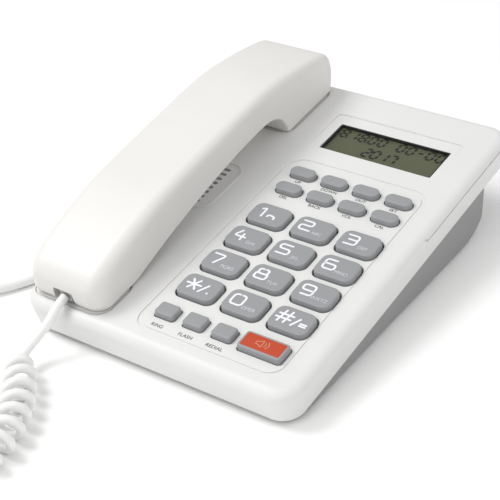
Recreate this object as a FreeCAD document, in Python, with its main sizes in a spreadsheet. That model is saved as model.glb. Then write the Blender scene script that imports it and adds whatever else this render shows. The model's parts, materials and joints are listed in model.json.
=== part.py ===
import FreeCAD, Part

import math
import os

import Sketcher
from FreeCAD import Placement, Rotation, Vector

# Corded desk telephone: base with sloped key panel, handset on its cradle, curly handset cord.
# Row frame: +Z up, +Y to the rear, +X to the telephone's right, origin under the middle of the object.
# The "panel frame" is the top cover's flat face: x across, y up the slope, z out of the face.

DIMENSIONS = {
    # panel frame
    "tilt_angle": 8.0, "face_shift": -0.75, "face_height": 34.6,
    # top cover
    "cover_width": 153.6, "cover_length": 221.0, "cover_corner": 13.0, "skirt_depth": 17.0,
    "cover_edge": 5.0, "cover_draft": 8.0, "wall": 2.2, "reveal_depth": 1.5,
    # bottom case
    "case_width": 146.6, "case_front": -103.5, "case_rear": 90.5, "case_corner": 11.0,
    "case_floor": 2.0, "case_arc": 29.0,
    # number keys
    "key_width": 21.5, "key_depth": 15.8, "key_corner": 4.2, "key_rise": 3.0, "key_gap": 0.35,
    "key_left": 1.0, "key_pitch": 25.1, "key_top_row": -8.6, "key_row": 19.8, "key_flange": 1.0,
    "key_round": 0.9,
    # function keys
    "fn_width": 14.6, "fn_depth": 7.6, "fn_corner": 3.4, "fn_left": -2.2, "fn_pitch": 18.25,
    "fn_top_row": 28.2, "fn_row": 13.9,
    # mode keys and speaker key
    "mode_width": 11.0, "mode_depth": 8.4, "mode_corner": 1.4, "mode_left": -3.2,
    "mode_pitch": 15.7, "low_row": -87.6, "talk_width": 23.0, "talk_depth": 11.0,
    "talk_corner": 1.6, "talk_centre": 48.9, "talk_rim": 1.15,
    # display
    "window_width": 64.7, "window_depth": 24.1, "window_x": 23.85, "window_y": 65.75,
    "bezel_width": 74.8, "bezel_depth": 39.6, "bezel_x": 22.8, "bezel_y": 46.0, "bezel_lean": 1.2,
    # key panel outline groove
    "outline_width": 80.2, "outline_depth": 143.0, "outline_x": 24.6, "outline_y": -30.1,
    "outline_corner": 10.0, "outline_line": 2.4, "outline_cut": 0.45,
    # cradle
    "cradle_x": -51.2, "ear_y": 79.5, "ear_length": 39.0, "mouth_y": -88.0, "mouth_length": 19.0,
    "bowl_width": 36.0, "bowl_depth": 3.5, "slot_length": 24.0, "slot_width": 1.9,
    "slot_pitch": 4.0, "slot_first": -12.0, "plunger_y": 62.6,
    "seat_width": 45.4, "seat_line": 1.4, "seat_cut": 1.2, "seat_corner": 9.0,
    # handset
    "handset_width": 44.0, "handset_wall": 2.2, "handset_edge": 5.0, "plug_x": -50.0,
    # boards and fittings
    "board_thick": 1.6, "board_level": 8.4, "boss_width": 7.0, "screw_width": 2.6,
    "screw_head": 5.0, "jack_y": 0.0, "jack_height": 9.5, "line_jack_x": 30.0,
    "line_jack_z": 22.0,
    # cord
    "wire_width": 4.4, "coil_width": 16.4,
}

KEY_NAMES = (("1", "2", "3"), ("4", "5", "6"), ("7", "8", "9"), ("star", "0", "hash"))

SCREW_SPOTS = ((69.3, -72.0), (-69.3, -72.0), (69.3, 50.0), (-69.3, 50.0))
POST_SPOTS = ((-53.0, -18.0), (40.0, -18.0), (-53.0, 50.0), (40.0, 66.0))
SEATS = (("ear", 80.5, 48.6), ("mouth", -90.5, 29.2))
FOOT_SPOTS = ((-60.0, -86.0), (60.0, -86.0), (-60.0, 48.0), (60.0, 48.0))

# Side outline of the handset in the panel frame: (up the slope, out of the face), nose to rear.
CROWN = ((-104.4, 3.4), (-104.5, 8.0), (-103.6, 13.4), (-99.5, 17.6), (-92.0, 20.8),
         (-78.0, 24.9), (-62.0, 28.6), (-46.0, 31.2), (-20.0, 33.0), (5.0, 34.3), (25.0, 35.3),
         (40.0, 35.6), (52.0, 34.6), (65.0, 32.6), (77.0, 30.4), (91.0, 27.0), (99.5, 23.4),
         (104.0, 18.6), (105.2, 13.0), (104.0, 7.2), (101.8, 1.0))
GRIP = ((57.5, 1.0), (55.6, 6.5), (51.5, 12.3), (44.0, 16.2), (34.0, 17.3), (10.0, 16.1),
        (-15.0, 13.2), (-45.0, 8.3), (-66.0, 3.7), (-78.0, 1.0))
NOSE_FOOT = (-101.5, 1.0)

# Cord route in the row frame, millimetres: lead from the handset, coiled part, tail to the base.
LEAD = ((-50.0, -104.7, 25.0), (-49.6, -111.0, 23.4), (-49.8, -117.2, 18.2),
        (-52.2, -123.4, 12.6), (-53.4, -130.6, 9.2), (-49.6, -138.4, 8.3))
COIL = ((-49.6, -138.4, 8.3), (-39.6, -149.8, 8.3), (-29.8, -163.0, 8.3),
        (-22.4, -177.8, 8.3), (-20.4, -194.2, 8.3), (-25.6, -209.8, 8.3),
        (-36.6, -222.2, 8.3), (-51.6, -229.6, 8.3), (-68.2, -231.2, 8.3),
        (-84.4, -227.4, 8.3), (-98.4, -218.6, 8.3), (-109.4, -206.2, 8.3),
        (-117.0, -191.4, 8.3), (-121.2, -175.4, 8.3), (-122.6, -158.8, 8.3),
        (-122.2, -142.4, 8.3), (-120.6, -126.4, 8.3))
TAIL = ((-120.6, -126.4, 8.3), (-117.8, -113.0, 6.6), (-111.4, -101.4, 4.0),
        (-103.4, -90.8, 2.8), (-97.2, -78.4, 2.6), (-93.6, -64.4, 2.6), (-92.4, -49.4, 2.6),
        (-92.6, -34.6, 2.6), (-92.2, -20.8, 3.2), (-88.8, -9.4, 5.6), (-82.4, -2.0, 8.4),
        (-74.3, 0.0, 9.5))

doc = FreeCAD.newDocument("Telephone")
sheet = doc.addObject("Spreadsheet::Sheet", "Sizes")
for row, (alias, number) in enumerate(DIMENSIONS.items(), start=1):
    sheet.set(f"A{row}", alias)
    sheet.set(f"B{row}", str(number))
    sheet.setAlias(f"B{row}", alias)
doc.recompute()

NODES = []
X_AXIS = Vector(1, 0, 0)
Y_AXIS = Vector(0, 1, 0)
Z_AXIS = Vector(0, 0, 1)


def size(alias):
    """The number a sheet cell holds."""
    return float(sheet.get(alias))


def on_face(x=0.0, y=0.0, z=0.0):
    """The placement that carries a piece from its own axes onto the sloped panel."""
    panel = Placement(Vector(0, size("face_shift"), size("face_height")),
                      Rotation(X_AXIS, size("tilt_angle")))
    return panel.multiply(Placement(Vector(x, y, z), Rotation()))


def bind(item, **links):
    """Tie each property of item to an expression over the sheet."""
    for prop, text in links.items():
        item.setExpression(prop.replace("__", "."), text)
    return item


def finish(item, label, place=None):
    """Name a finished piece, set it in the row frame and put it on the list of nodes."""
    item.Label = label
    if place is not None:
        item.Placement = place.multiply(item.Placement)
    NODES.append(item)
    return item


def block(name, width, depth, height, at, corner=0.0):
    """A box centred on at in x and y and standing on it; sizes are expressions or numbers."""
    box = doc.addObject("Part::Box", name)
    bind(box, Length=str(width), Width=str(depth), Height=str(height))
    doc.recompute([box])
    box.Placement = Placement(
        Vector(at[0] - box.Length.Value / 2, at[1] - box.Width.Value / 2, at[2]), Rotation())
    if corner == 0.0:
        return box
    rounded = doc.addObject("Part::Fillet", name + "_rounded")
    rounded.Base = box
    upright = [i for i, edge in enumerate(box.Shape.Edges, start=1)
               if edge.BoundBox.ZLength > 0.9 * box.Height.Value]
    rounded.Edges = [(i, corner, corner) for i in upright]
    return rounded


def disc(name, width, height, at):
    """An upright cylinder standing on at; width and height are expressions or numbers."""
    rod = doc.addObject("Part::Cylinder", name)
    bind(rod, Radius=f"({width}) / 2", Height=str(height))
    rod.Placement = Placement(Vector(*at), Rotation())
    return rod


def fuse(name, items):
    joined = doc.addObject("Part::MultiFuse", name)
    joined.Shapes = list(items)
    return joined


def cut(name, base, tools):
    tool = tools[0] if len(tools) == 1 else fuse(name + "_tools", tools)
    result = doc.addObject("Part::Cut", name)
    result.Base = base
    result.Tool = tool
    return result


def common(name, base, tool):
    result = doc.addObject("Part::Common", name)
    result.Base = base
    result.Tool = tool
    return result


def group(name, items):
    bundle = doc.addObject("Part::Compound", name)
    bundle.Links = list(items)
    return bundle


def plane_of(body, role):
    return next(f for f in body.Origin.OriginFeatures if f.Role == role)


def rounded_sketch(body, name, width, depth, corner, level=0.0):
    """A rounded rectangle about the body's own Z axis, its three sizes bound to expressions."""
    sketch = body.newObject("Sketcher::SketchObject", name)
    sketch.AttachmentSupport = [(plane_of(body, "XY_Plane"), "")]
    sketch.MapMode = "FlatFace"
    sketch.AttachmentOffset = Placement(Vector(0, 0, level), Rotation())
    w, d, r = (float(sheet.evalExpression(str(e))) for e in (width, depth, corner))
    x, y = w / 2 - r, d / 2 - r

    def arc(cx, cy, start):
        circle = Part.Circle(Vector(cx, cy, 0), Z_AXIS, r)
        return Part.ArcOfCircle(circle, math.radians(start), math.radians(start + 90))

    def line(x0, y0, x1, y1):
        return Part.LineSegment(Vector(x0, y0, 0), Vector(x1, y1, 0))

    sketch.addGeometry([
        line(-x, -d / 2, x, -d / 2), arc(x, -y, -90), line(w / 2, -y, w / 2, y), arc(x, y, 0),
        line(x, d / 2, -x, d / 2), arc(-x, y, 90), line(-w / 2, y, -w / 2, -y), arc(-x, -y, 180)])
    rules = [Sketcher.Constraint("Tangent", i, 2, (i + 1) % 8, 1) for i in range(8)]
    rules += [Sketcher.Constraint("Horizontal", 0), Sketcher.Constraint("Horizontal", 4),
              Sketcher.Constraint("Vertical", 2), Sketcher.Constraint("Vertical", 6)]
    rules += [Sketcher.Constraint("Equal", 1, i) for i in (3, 5, 7)]
    sketch.addConstraint(rules)
    driven = {"corner": Sketcher.Constraint("Radius", 1, r),
              "width": Sketcher.Constraint("DistanceX", 6, 1, 2, 1, w),
              "depth": Sketcher.Constraint("DistanceY", 0, 1, 4, 1, d),
              "half_width": Sketcher.Constraint("DistanceX", 6, 1, -1, 1, w / 2),
              "half_depth": Sketcher.Constraint("DistanceY", 0, 1, -1, 1, d / 2)}
    texts = {"corner": corner, "width": width, "depth": depth,
             "half_width": f"({width}) / 2", "half_depth": f"({depth}) / 2"}
    for key, rule in driven.items():
        index = sketch.addConstraint(rule)
        sketch.renameConstraint(index, key)
        sketch.setExpression(f"Constraints.{key}", str(texts[key]))
    return sketch


def rim_edges(shape, level):
    """Names of the edges that lie in the horizontal plane at level."""
    return [f"Edge{i}" for i, edge in enumerate(shape.Edges, start=1)
            if abs(edge.BoundBox.ZMax - level) < 1e-4 and edge.BoundBox.ZLength < 1e-4]


def padded_body(name, width, depth, corner, height, down=False, draft=0.0, level=0.0):
    """A body with one drafted pad of a rounded rectangle."""
    body = doc.addObject("PartDesign::Body", name)
    outline = rounded_sketch(body, name + "_outline", width, depth, corner, level)
    pad = body.newObject("PartDesign::Pad", name + "_pad")
    pad.Profile = outline
    pad.Reversed = down
    pad.TaperAngle = draft
    bind(pad, Length=str(height))
    outline.Visibility = False
    doc.recompute()
    return body, pad


def round_rim(body, name, base, level, radius):
    """Round the rim of base at level, the radius bound to an expression."""
    fillet = body.newObject("PartDesign::Fillet", name)
    fillet.Base = (base, rim_edges(base.Shape, level))
    bind(fillet, Radius=str(radius))
    doc.recompute()
    return fillet


def side_profile(name, edges, width):
    """A side outline in the YZ plane, extruded evenly to both sides of x = 0."""
    face = doc.addObject("Part::Feature", name + "_outline")
    face.Shape = Part.Face(Part.Wire(Part.__sortEdges__(edges)))
    solid = doc.addObject("Part::Extrusion", name)
    solid.Base = face
    solid.DirMode = "Custom"
    solid.Dir = X_AXIS
    solid.Solid = True
    solid.Symmetric = True
    bind(solid, LengthFwd=str(width))
    doc.recompute()
    return solid


def yz(point):
    return Vector(0, point[0], point[1])


def yz_line(a, b):
    return Part.LineSegment(yz(a), yz(b)).toShape()


def yz_arc(points):
    return Part.Arc(*[yz(p) for p in points]).toShape()


def yz_curve(points):
    curve = Part.BSplineCurve()
    curve.interpolate([yz(p) for p in points])
    return curve.toShape()


# ---------------------------------------------------------------- keys

def key_body(name, width, depth, corner, rise="Sizes.key_rise"):
    """A key: a drafted cap with a rounded rim over a retaining flange, its face level at z = 0."""
    body, flange = padded_body(
        name, f"{width} + 2 * Sizes.key_flange", f"{depth} + 2 * Sizes.key_flange", corner,
        "Sizes.key_flange", level=-3.4)
    outline = rounded_sketch(body, name + "_cap_outline", width, depth, corner, level=-2.4)
    cap = body.newObject("PartDesign::Pad", name + "_cap")
    cap.Profile = outline
    cap.TaperAngle = -2.0
    bind(cap, Length=f"2.4 + {rise}")
    outline.Visibility = False
    doc.recompute()
    top = cap.Shape.BoundBox.ZMax
    round_rim(body, name + "_rim", cap, top, "Sizes.key_round")
    return body


def number_key_spot(column, row):
    return (size("key_left") + column * size("key_pitch"),
            size("key_top_row") - row * size("key_row"))


def function_key_spot(column, row):
    return (size("fn_left") + column * size("fn_pitch"),
            size("fn_top_row") - row * size("fn_row"))


def mode_key_spot(column):
    return size("mode_left") + column * size("mode_pitch"), size("low_row")


def key_table():
    """Every key: (node name, size prefix, x, y)."""
    table = []
    for row, names in enumerate(KEY_NAMES):
        for column, mark in enumerate(names):
            table.append((f"key_{mark}", "key", *number_key_spot(column, row)))
    for row in range(2):
        for column in range(4):
            table.append((f"function_key_{4 * row + column + 1}", "fn",
                          *function_key_spot(column, row)))
    for column in range(3):
        table.append((f"mode_key_{column + 1}", "mode", *mode_key_spot(column)))
    table.append(("speaker_key", "talk", size("talk_centre"), size("low_row")))
    return table


def make_keys():
    for name, kind, x, y in key_table():
        body = key_body(name + "_body", f"Sizes.{kind}_width", f"Sizes.{kind}_depth",
                        f"Sizes.{kind}_corner")
        if kind != "talk":
            finish(body, name, on_face(x, y))
            continue
        pocket = block("speaker_key_pocket", "Sizes.talk_width - 2 * Sizes.talk_rim",
                       "Sizes.talk_depth - 2 * Sizes.talk_rim", 4.0, (0, 0, 1.6), 0.8)
        finish(cut("speaker_key_cap", body, [pocket]), name, on_face(x, y))
        insert = block("talk_lens_block", "Sizes.talk_width - 2 * Sizes.talk_rim - 0.1",
                       "Sizes.talk_depth - 2 * Sizes.talk_rim - 0.1",
                       "Sizes.key_rise - 1.6 + 0.15", (0, 0, 1.6), 0.75)
        finish(insert, "speaker_key_lens", on_face(x, y))


# ---------------------------------------------------------------- base casing

def key_openings():
    """Cutters for the key holes, a running gap larger than the caps all round."""
    cutters = []
    for name, kind, x, y in key_table():
        cutters.append(block(name + "_hole", f"Sizes.{kind}_width + 2 * Sizes.key_gap",
                             f"Sizes.{kind}_depth + 2 * Sizes.key_gap", 12, (x, y, -8),
                             size(f"{kind}_corner") + size("key_gap")))
    return cutters


def ring(name, width, depth, corner, line, at, height):
    """A closed band of the given line width, its outer edge a rounded rectangle."""
    outer = block(name + "_outer", width, depth, height, at, corner)
    inner = block(name + "_inner", f"{width} - 2 * {line}", f"{depth} - 2 * {line}",
                  f"{height} + 2", (at[0], at[1], at[2] - 1),
                  corner - float(sheet.evalExpression(str(line))))
    return cut(name, outer, [inner])


def reveal_cutters():
    """The fine reveal line round the display half of the cover, below its top edge."""
    half_width = size("cover_width") / 2
    half_length = size("cover_length") / 2
    depth = size("reveal_depth")
    start, level, line = 13.0, -4.4, 0.75
    run = half_length - start + 2
    cutters = []
    for name, side in (("right", 1), ("left", -1)):
        x = side * (half_width - 0.1 - depth + 3.0)
        cutters.append(block(f"reveal_{name}", 6.0, run, line, (x, start + run / 2, level)))
        rise = block(f"reveal_{name}_rise", 6.0, 6.2, line, (0, 0, 0))
        rise.Placement = Placement(Vector(x - 3.0, start - 4.2, level + 4.1),
                                   Rotation(X_AXIS, -40))
        cutters.append(rise)
    cutters.append(block("reveal_rear", size("cover_width") + 4, 6.0, line,
                         (0, half_length - 0.1 - depth + 3.0, level)))
    return cutters


def make_top_cover():
    outer, pad = padded_body("cover_block", "Sizes.cover_width", "Sizes.cover_length",
                             "Sizes.cover_corner", "Sizes.skirt_depth", down=True,
                             draft=-size("cover_draft"))
    round_rim(outer, "cover_edge_round", pad, 0.0, "Sizes.cover_edge")
    inner, inner_pad = padded_body("cover_hollow", "Sizes.cover_width - 2 * Sizes.wall - 0.6",
                                   "Sizes.cover_length - 2 * Sizes.wall - 0.6",
                                   "Sizes.cover_corner - Sizes.wall", "Sizes.skirt_depth",
                                   down=True, draft=-size("cover_draft"), level=-size("wall"))
    round_rim(inner, "cover_hollow_round", inner_pad, -size("wall"), "Sizes.cover_edge - 2")
    shell = cut("cover_shell", outer, [inner])
    cradle_x = size("cradle_x")
    bowls, pads = [], []
    for name in ("ear", "mouth"):
        y = size(f"{name}_y")
        length = f"Sizes.{name}_length"
        pads.append(block(f"{name}_bowl_pad", "Sizes.bowl_width + 3", f"{length} + 3", 4.2,
                          (cradle_x, y, -5.7), 8.5))
        bowls.append(block(f"{name}_bowl", "Sizes.bowl_width", length, 8,
                           (cradle_x, y, -size("bowl_depth")), 7.0))
    slots_middle = size("slot_first") + 3.5 * size("slot_pitch")
    ridge = ring("grille_ridge", 38.4, 40.0, 8.0, 1.0, (cradle_x, slots_middle, -0.5), 1.0)
    bosses = []
    for i, (x, y) in enumerate(SCREW_SPOTS):
        bosses.append(disc(f"cover_boss_{i}", "Sizes.boss_width", 14.8, (x, y, -16.9)))
    solid = fuse("cover_solid", [shell, *pads, ridge, *bosses])
    cutters = bowls + key_openings() + reveal_cutters()
    cutters.append(block("window_hole", "Sizes.window_width", "Sizes.window_depth", 8,
                         (size("window_x"), size("window_y"), -6), 0.8))
    bezel = block("bezel_cut", "Sizes.bezel_width", "Sizes.bezel_depth", 6, (0, 0, 0), 3.0)
    doc.recompute()
    bezel.Placement = Placement(Vector(size("bezel_x"), size("bezel_y"), 0),
                                Rotation(X_AXIS, -size("bezel_lean"))).multiply(
        Placement(Vector(0, size("bezel_depth") / 2, 0), Rotation()))
    cutters.append(bezel)
    for name, y, length in SEATS:
        cutters.append(ring(f"{name}_seat_groove", "Sizes.seat_width", length,
                            size("seat_corner"), "Sizes.seat_line",
                            (cradle_x, y, -size("seat_cut")), 3.0))
    cutters.append(ring("outline_groove", "Sizes.outline_width", "Sizes.outline_depth",
                        size("outline_corner"), "Sizes.outline_line",
                        (size("outline_x"), size("outline_y"), -size("outline_cut")), 2.0))
    for i in range(8):
        cutters.append(block(f"speaker_slot_{i}", "Sizes.slot_length", "Sizes.slot_width", 8,
                             (cradle_x, size("slot_first") + i * size("slot_pitch"), -6), 0.94))
    cutters.append(block("plunger_hole", 7.0, 5.0, 12, (cradle_x, size("plunger_y"), -9), 1.0))
    for i, (x, y) in enumerate(SCREW_SPOTS):
        cutters.append(disc(f"cover_pilot_{i}", "Sizes.screw_width - 0.02", 9.0, (x, y, -17.5)))
    finish(cut("cover_cut", solid, cutters), "top_cover", on_face())


def seam_height(y):
    """Height of the cover's lower rim plane over a point y along the base."""
    angle = math.radians(size("tilt_angle"))
    rise = (y - size("face_shift")) * math.tan(angle)
    return size("face_height") + rise - size("skirt_depth") / math.cos(angle)


def case_block(name, inset, floor, lift=0.0):
    """The bottom case's outer form, or its hollow when inset: plan outline and side outline."""
    plan, _ = padded_body(name + "_plan", f"Sizes.case_width - 2 * {inset}",
                          f"Sizes.case_rear - Sizes.case_front - 2 * {inset}",
                          f"Sizes.case_corner - {inset}", 60)
    front = size("case_front") + inset
    rear = size("case_rear") - inset
    radius = size("case_arc") - inset
    plan.Placement = Placement(Vector(0, (front + rear) / 2, -5), Rotation())
    centre_y = rear - radius
    centre_z = floor + radius
    half = radius / math.sqrt(2)
    top_front = seam_height(front) + lift
    top_rear = max(seam_height(rear) + lift, centre_z + 1.0)
    edges = [yz_line((front - 3, floor), (centre_y, floor)),
             yz_arc(((centre_y, floor), (centre_y + half, centre_z - half), (rear, centre_z))),
             yz_line((rear, centre_z), (rear, top_rear)),
             yz_line((rear, top_rear), (front - 3, top_front)),
             yz_line((front - 3, top_front), (front - 3, floor))]
    side = side_profile(name + "_side", edges, 200)
    return common(name, plan, side)


def seam_cutter(name, level):
    """Everything above the panel-frame plane z = level."""
    slab = block(name, 220, 300, 60, (0, 0, 0))
    doc.recompute()
    slab.Placement = on_face(-110, -150, level)
    return slab


def make_bottom_case():
    wall = size("wall")
    outer = case_block("case_outer", 0.0, size("case_floor"), lift=4.0)
    inner = case_block("case_inner", wall, size("case_floor") + wall, lift=9.0)
    ledge_body, _ = padded_body("case_ledge", "Sizes.cover_width - 12.0", 29.0, 11.0, 2.2)
    ledge_body.Placement = on_face(0, 90.8, -size("skirt_depth"))
    posts = []
    for i, (x, y) in enumerate(SCREW_SPOTS):
        post = disc(f"case_post_{i}", "Sizes.boss_width + 1.5", 40, (0, 0, 0))
        post.Placement = on_face(x, y, -size("skirt_depth") - 40)
        posts.append(post)
    trimmed_posts = common("case_posts", fuse("case_post_rods", posts),
                           case_block("case_trim", 0.0, size("case_floor"), lift=4.0))
    shell = cut("case_shell", fuse("case_walls", [outer, ledge_body]), [inner])
    stands = [disc(f"board_stand_{i}", 6.0, size("board_level") - size("case_floor") - 1.0,
                   (x, y, size("case_floor") + 1.0)) for i, (x, y) in enumerate(POST_SPOTS)]
    solid = fuse("case_solid", [shell, trimmed_posts, *stands])
    cutters = [seam_cutter("case_seam", -size("skirt_depth") + 2.2)]
    rim = seam_cutter("case_rim_cut", -size("skirt_depth"))
    keep = block("case_rim_keep", 142, 60, 60, (0, 0, 0))
    doc.recompute()
    keep.Placement = on_face(-71, 75.0, -size("skirt_depth") - 20)
    cutters.append(cut("case_rim", rim, [keep]))
    for i, (x, y) in enumerate(SCREW_SPOTS):
        bore = disc(f"case_bore_{i}", "Sizes.screw_width + 0.6", 60, (0, 0, 0))
        bore.Placement = on_face(x, y, -60)
        sink = disc(f"case_sink_{i}", "Sizes.screw_head + 0.8", 60, (0, 0, 0))
        sink.Placement = on_face(x, y, -size("skirt_depth") - 2.0 - 60)
        cutters += [bore, sink]
    for i, (x, y) in enumerate(POST_SPOTS):
        cutters.append(disc(f"stand_pilot_{i}", 2.1, 10, (x, y, size("board_level") - 3.2)))
    cutters.append(block("line_jack_hole", 12.6, 30, 10.6,
                         (size("line_jack_x"), 92, size("line_jack_z") - 5.3)))
    cutters.append(block("cord_jack_hole", 30, 11.3, 10.3,
                         (-80, size("jack_y"), size("jack_height") - 5.15)))
    finish(cut("case_cut", solid, cutters), "bottom_case")


def make_feet_and_screws():
    feet = [disc(f"foot_{i}", 12.0, "Sizes.case_floor", (x, y, 0))
            for i, (x, y) in enumerate(FOOT_SPOTS)]
    finish(group("feet_group", feet), "rubber_feet")
    screws = []
    for i, (x, y) in enumerate(SCREW_SPOTS):
        shank = disc(f"screw_shank_{i}", "Sizes.screw_width - 0.06", 10.0, (x, y, -19.1))
        head = disc(f"screw_head_{i}", "Sizes.screw_head", 1.6, (x, y, -20.65))
        screws.append(fuse(f"screw_{i}", [shank, head]))
    finish(group("case_screw_group", screws), "case_screws", on_face())
    level = size("board_level") + size("board_thick")
    board = []
    for i, (x, y) in enumerate(POST_SPOTS):
        shank = disc(f"board_shank_{i}", 2.0, 4.4, (x, y, level - 4.4))
        head = disc(f"board_head_{i}", 4.2, 1.4, (x, y, level))
        board.append(fuse(f"board_screw_{i}", [shank, head]))
    finish(group("board_screw_group", board), "board_screws")


# ---------------------------------------------------------------- display

def make_display():
    x, y = size("window_x"), size("window_y")
    place = on_face(x, y)
    collar = block("display_collar", "Sizes.window_width - 0.2", "Sizes.window_depth - 0.2", 1.6,
                   (0, 0, -2.4), 0.7)
    flange = block("display_flange", 70.0, 30.0, 5.0, (0, 0, -7.3), 1.5)
    bore = block("display_bore", "Sizes.window_width - 1.8", "Sizes.window_depth - 1.8", 12,
                 (0, 0, -9), 0.4)
    frame = cut("display_frame_cut", fuse("display_frame_solid", [collar, flange]), [bore])
    finish(frame, "display_frame", place)
    pieces = (("display_window", 1.0, -2.3), ("display_panel", 2.6, -4.95))
    for name, height, level in pieces:
        finish(block(name + "_slab", "Sizes.window_width - 2.0", "Sizes.window_depth - 2.0",
                     height, (0, 0, level), 0.3), name, place)
    finish(block("display_board_slab", 70.0, 30.0, "Sizes.board_thick", (0, 0, -9.0), 1.0),
           "display_board", place)


# ---------------------------------------------------------------- insides of the base

def make_key_electronics():
    low, high = -97.0, 37.6
    left, right = -14.0, 62.6
    middle = ((left + right) / 2, (low + high) / 2)
    web = block("mat_web", right - left, high - low, 1.0, (*middle, -7.4), 2.0)
    domes = []
    for name, kind, x, y in key_table():
        wide = 8.0 if kind == "key" else 5.0
        domes.append(disc(name + "_dome", wide, 1.6, (x, y, -6.7)))
    finish(fuse("mat_solid", [web, *domes]), "key_mat", on_face())
    board = block("key_board_slab", right - left + 1.0, high - low + 1.0, "Sizes.board_thick",
                  (*middle, -9.0), 1.5)
    finish(board, "key_board", on_face())


def make_main_board():
    level = size("board_level")
    top = level + size("board_thick")
    slab = block("main_board_slab", 104.0, 98.0, "Sizes.board_thick", (-7.0, 24.0, level), 2.0)
    parts = [block("relay", 15.0, 10.0, 9.0, (10.0, 58.0, top - 0.2)),
             block("transformer", 16.0, 14.0, 10.5, (-14.0, 52.0, top - 0.2)),
             block("controller", 18.0, 18.0, 2.2, (-2.0, 16.0, top - 0.2)),
             block("connector", 26.0, 5.0, 5.0, (24.6, 6.0, top - 0.2))]
    for i, x in enumerate((-34.0, -24.0, 32.0)):
        parts.append(disc(f"capacitor_{i}", 8.0, 10.0, (x, 34.0, top - 0.2)))
    holes = [disc(f"board_hole_{i}", 2.4, 6, (x, y, level - 2))
             for i, (x, y) in enumerate(POST_SPOTS)]
    board = cut("main_board_cut", fuse("main_board_solid", [slab, *parts]), holes)
    finish(board, "main_board")
    finish(block("ballast_slab", 90.0, 38.0, 3.0, (0, -42.5, 4.25), 4.0), "ballast_plate")
    spot = on_face(size("cradle_x"), size("plunger_y"), -24.6).Base
    height = spot.z - top - 0.6
    finish(block("hook_switch_block", 10.0, 9.0, height, (spot.x, spot.y, top)), "hook_switch")


def make_board_ribbon():
    """Flat cable from the underside of the key board down to the main board's connector."""
    upper = on_face(24.6, 16.0, -9.0).Base
    low = size("board_level") + size("board_thick") + 4.9
    half, foot_y = 0.4, 6.0
    outline = [(upper.y - half, upper.z - 0.12), (upper.y - half, low + 6.0),
               (foot_y - half, low + 1.5), (foot_y - half, low),
               (foot_y + half, low), (foot_y + half, low + 1.4),
               (upper.y + half, low + 6.0), (upper.y + half, upper.z - 0.01)]
    edges = [yz_line(a, b) for a, b in zip(outline, outline[1:] + outline[:1])]
    ribbon = side_profile("board_ribbon_strip", edges, 24.0)
    finish(ribbon, "board_ribbon", Placement(Vector(24.6, 0, 0), Rotation()))


def revolved(name, outline):
    """Turn a closed outline of (radius, height) points about the Z axis."""
    face = doc.addObject("Part::Feature", name + "_outline")
    points = [Vector(r, 0, z) for r, z in outline]
    face.Shape = Part.Face(Part.makePolygon(points + points[:1]))
    turned = doc.addObject("Part::Revolution", name)
    turned.Source = face
    turned.Axis = Z_AXIS
    turned.Angle = 360
    turned.Solid = True
    return turned


def make_sound_parts():
    slots_middle = size("slot_first") + 3.5 * size("slot_pitch")
    profile = ((0, -3.9), (7.0, -3.4), (15.5, -2.9), (18.0, -2.35), (18.0, -4.2), (16.5, -5.0),
               (9.0, -7.5), (9.0, -12.0), (0, -12.0))
    finish(revolved("speaker_turned", profile), "speaker",
           on_face(size("cradle_x"), slots_middle))
    finish(disc("base_mic_can", 6.0, 4.0, (30.0, -102.6, -8.0)), "base_microphone", on_face())


def make_jacks():
    z = size("line_jack_z")
    body = block("line_jack_block", 12.4, 15.0, 10.4, (size("line_jack_x"), 80.6, z - 5.2))
    mouth = block("line_jack_mouth", 9.9, 14.0, 6.8, (size("line_jack_x"), 83.2, z - 3.4))
    latch = block("line_jack_latch", 4.2, 14.0, 2.4, (size("line_jack_x"), 83.2, z - 4.4))
    finish(cut("line_jack_cut", body, [mouth, latch]), "line_jack")
    y, z = size("jack_y"), size("jack_height")
    body = block("cord_jack_block", 12.6, 11.1, 10.1, (-66.8, y, z - 5.05))
    mouth = block("cord_jack_mouth", 13.0, 7.9, 6.8, (-68.6, y, z - 3.4))
    finish(cut("cord_jack_cut", body, [mouth]), "cord_jack")


def make_hook_plunger():
    y = size("plunger_y")
    stem = block("plunger_stem", 6.2, 4.2, 24.9, (size("cradle_x"), y, -24.5), 0.9)
    collar = block("plunger_collar", 9.4, 7.4, 1.2, (size("cradle_x"), y, -11.6), 1.0)
    finish(fuse("plunger_solid", [stem, collar]), "hook_plunger", on_face())


# ---------------------------------------------------------------- handset

def handset_edges(shift=(0.0, 0.0)):
    """The closed side outline of the handset, moved by shift."""
    crown, grip, nose = ([(a + shift[0], b + shift[1]) for a, b in points]
                         for points in (CROWN, GRIP, [NOSE_FOOT]))
    return [yz_curve(crown), yz_line(crown[-1], grip[0]), yz_curve(grip),
            yz_line(grip[-1], nose[0]), yz_line(nose[0], crown[0])]


def inner_edges(inset, floor):
    """The handset's hollow in side view: the crown moved inwards, open below floor."""
    moved = []
    for before, here, after in zip(CROWN[1:], CROWN[2:], CROWN[3:]):
        along = Vector(after[0] - before[0], after[1] - before[1], 0).normalize()
        moved.append((here[0] + inset * along.y, here[1] - inset * along.x))
    moved = [(moved[0][0] + 2.9, floor), *moved, (moved[-1][0] - 3.6, floor)]
    return [yz_line(moved[0], moved[1]), yz_curve(moved[1:-1]), yz_line(moved[-2], moved[-1]),
            yz_line(moved[-1], moved[0])]


def top_edges(shape, level):
    """Numbers of the long side edges of an extruded outline that lie above level."""
    half = shape.BoundBox.XLength / 2
    picked = []
    for i, edge in enumerate(shape.Edges, start=1):
        box = edge.BoundBox
        if box.XLength < 1e-4 and abs(abs(box.XMin) - half) < 1e-3 and box.ZMax > level:
            picked.append(i)
    return picked


def rounded_edges(name, solid, numbers, radius):
    rounded = doc.addObject("Part::Fillet", name)
    rounded.Base = solid
    rounded.Edges = [(i, radius, radius) for i in numbers]
    doc.recompute()
    return rounded


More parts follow.
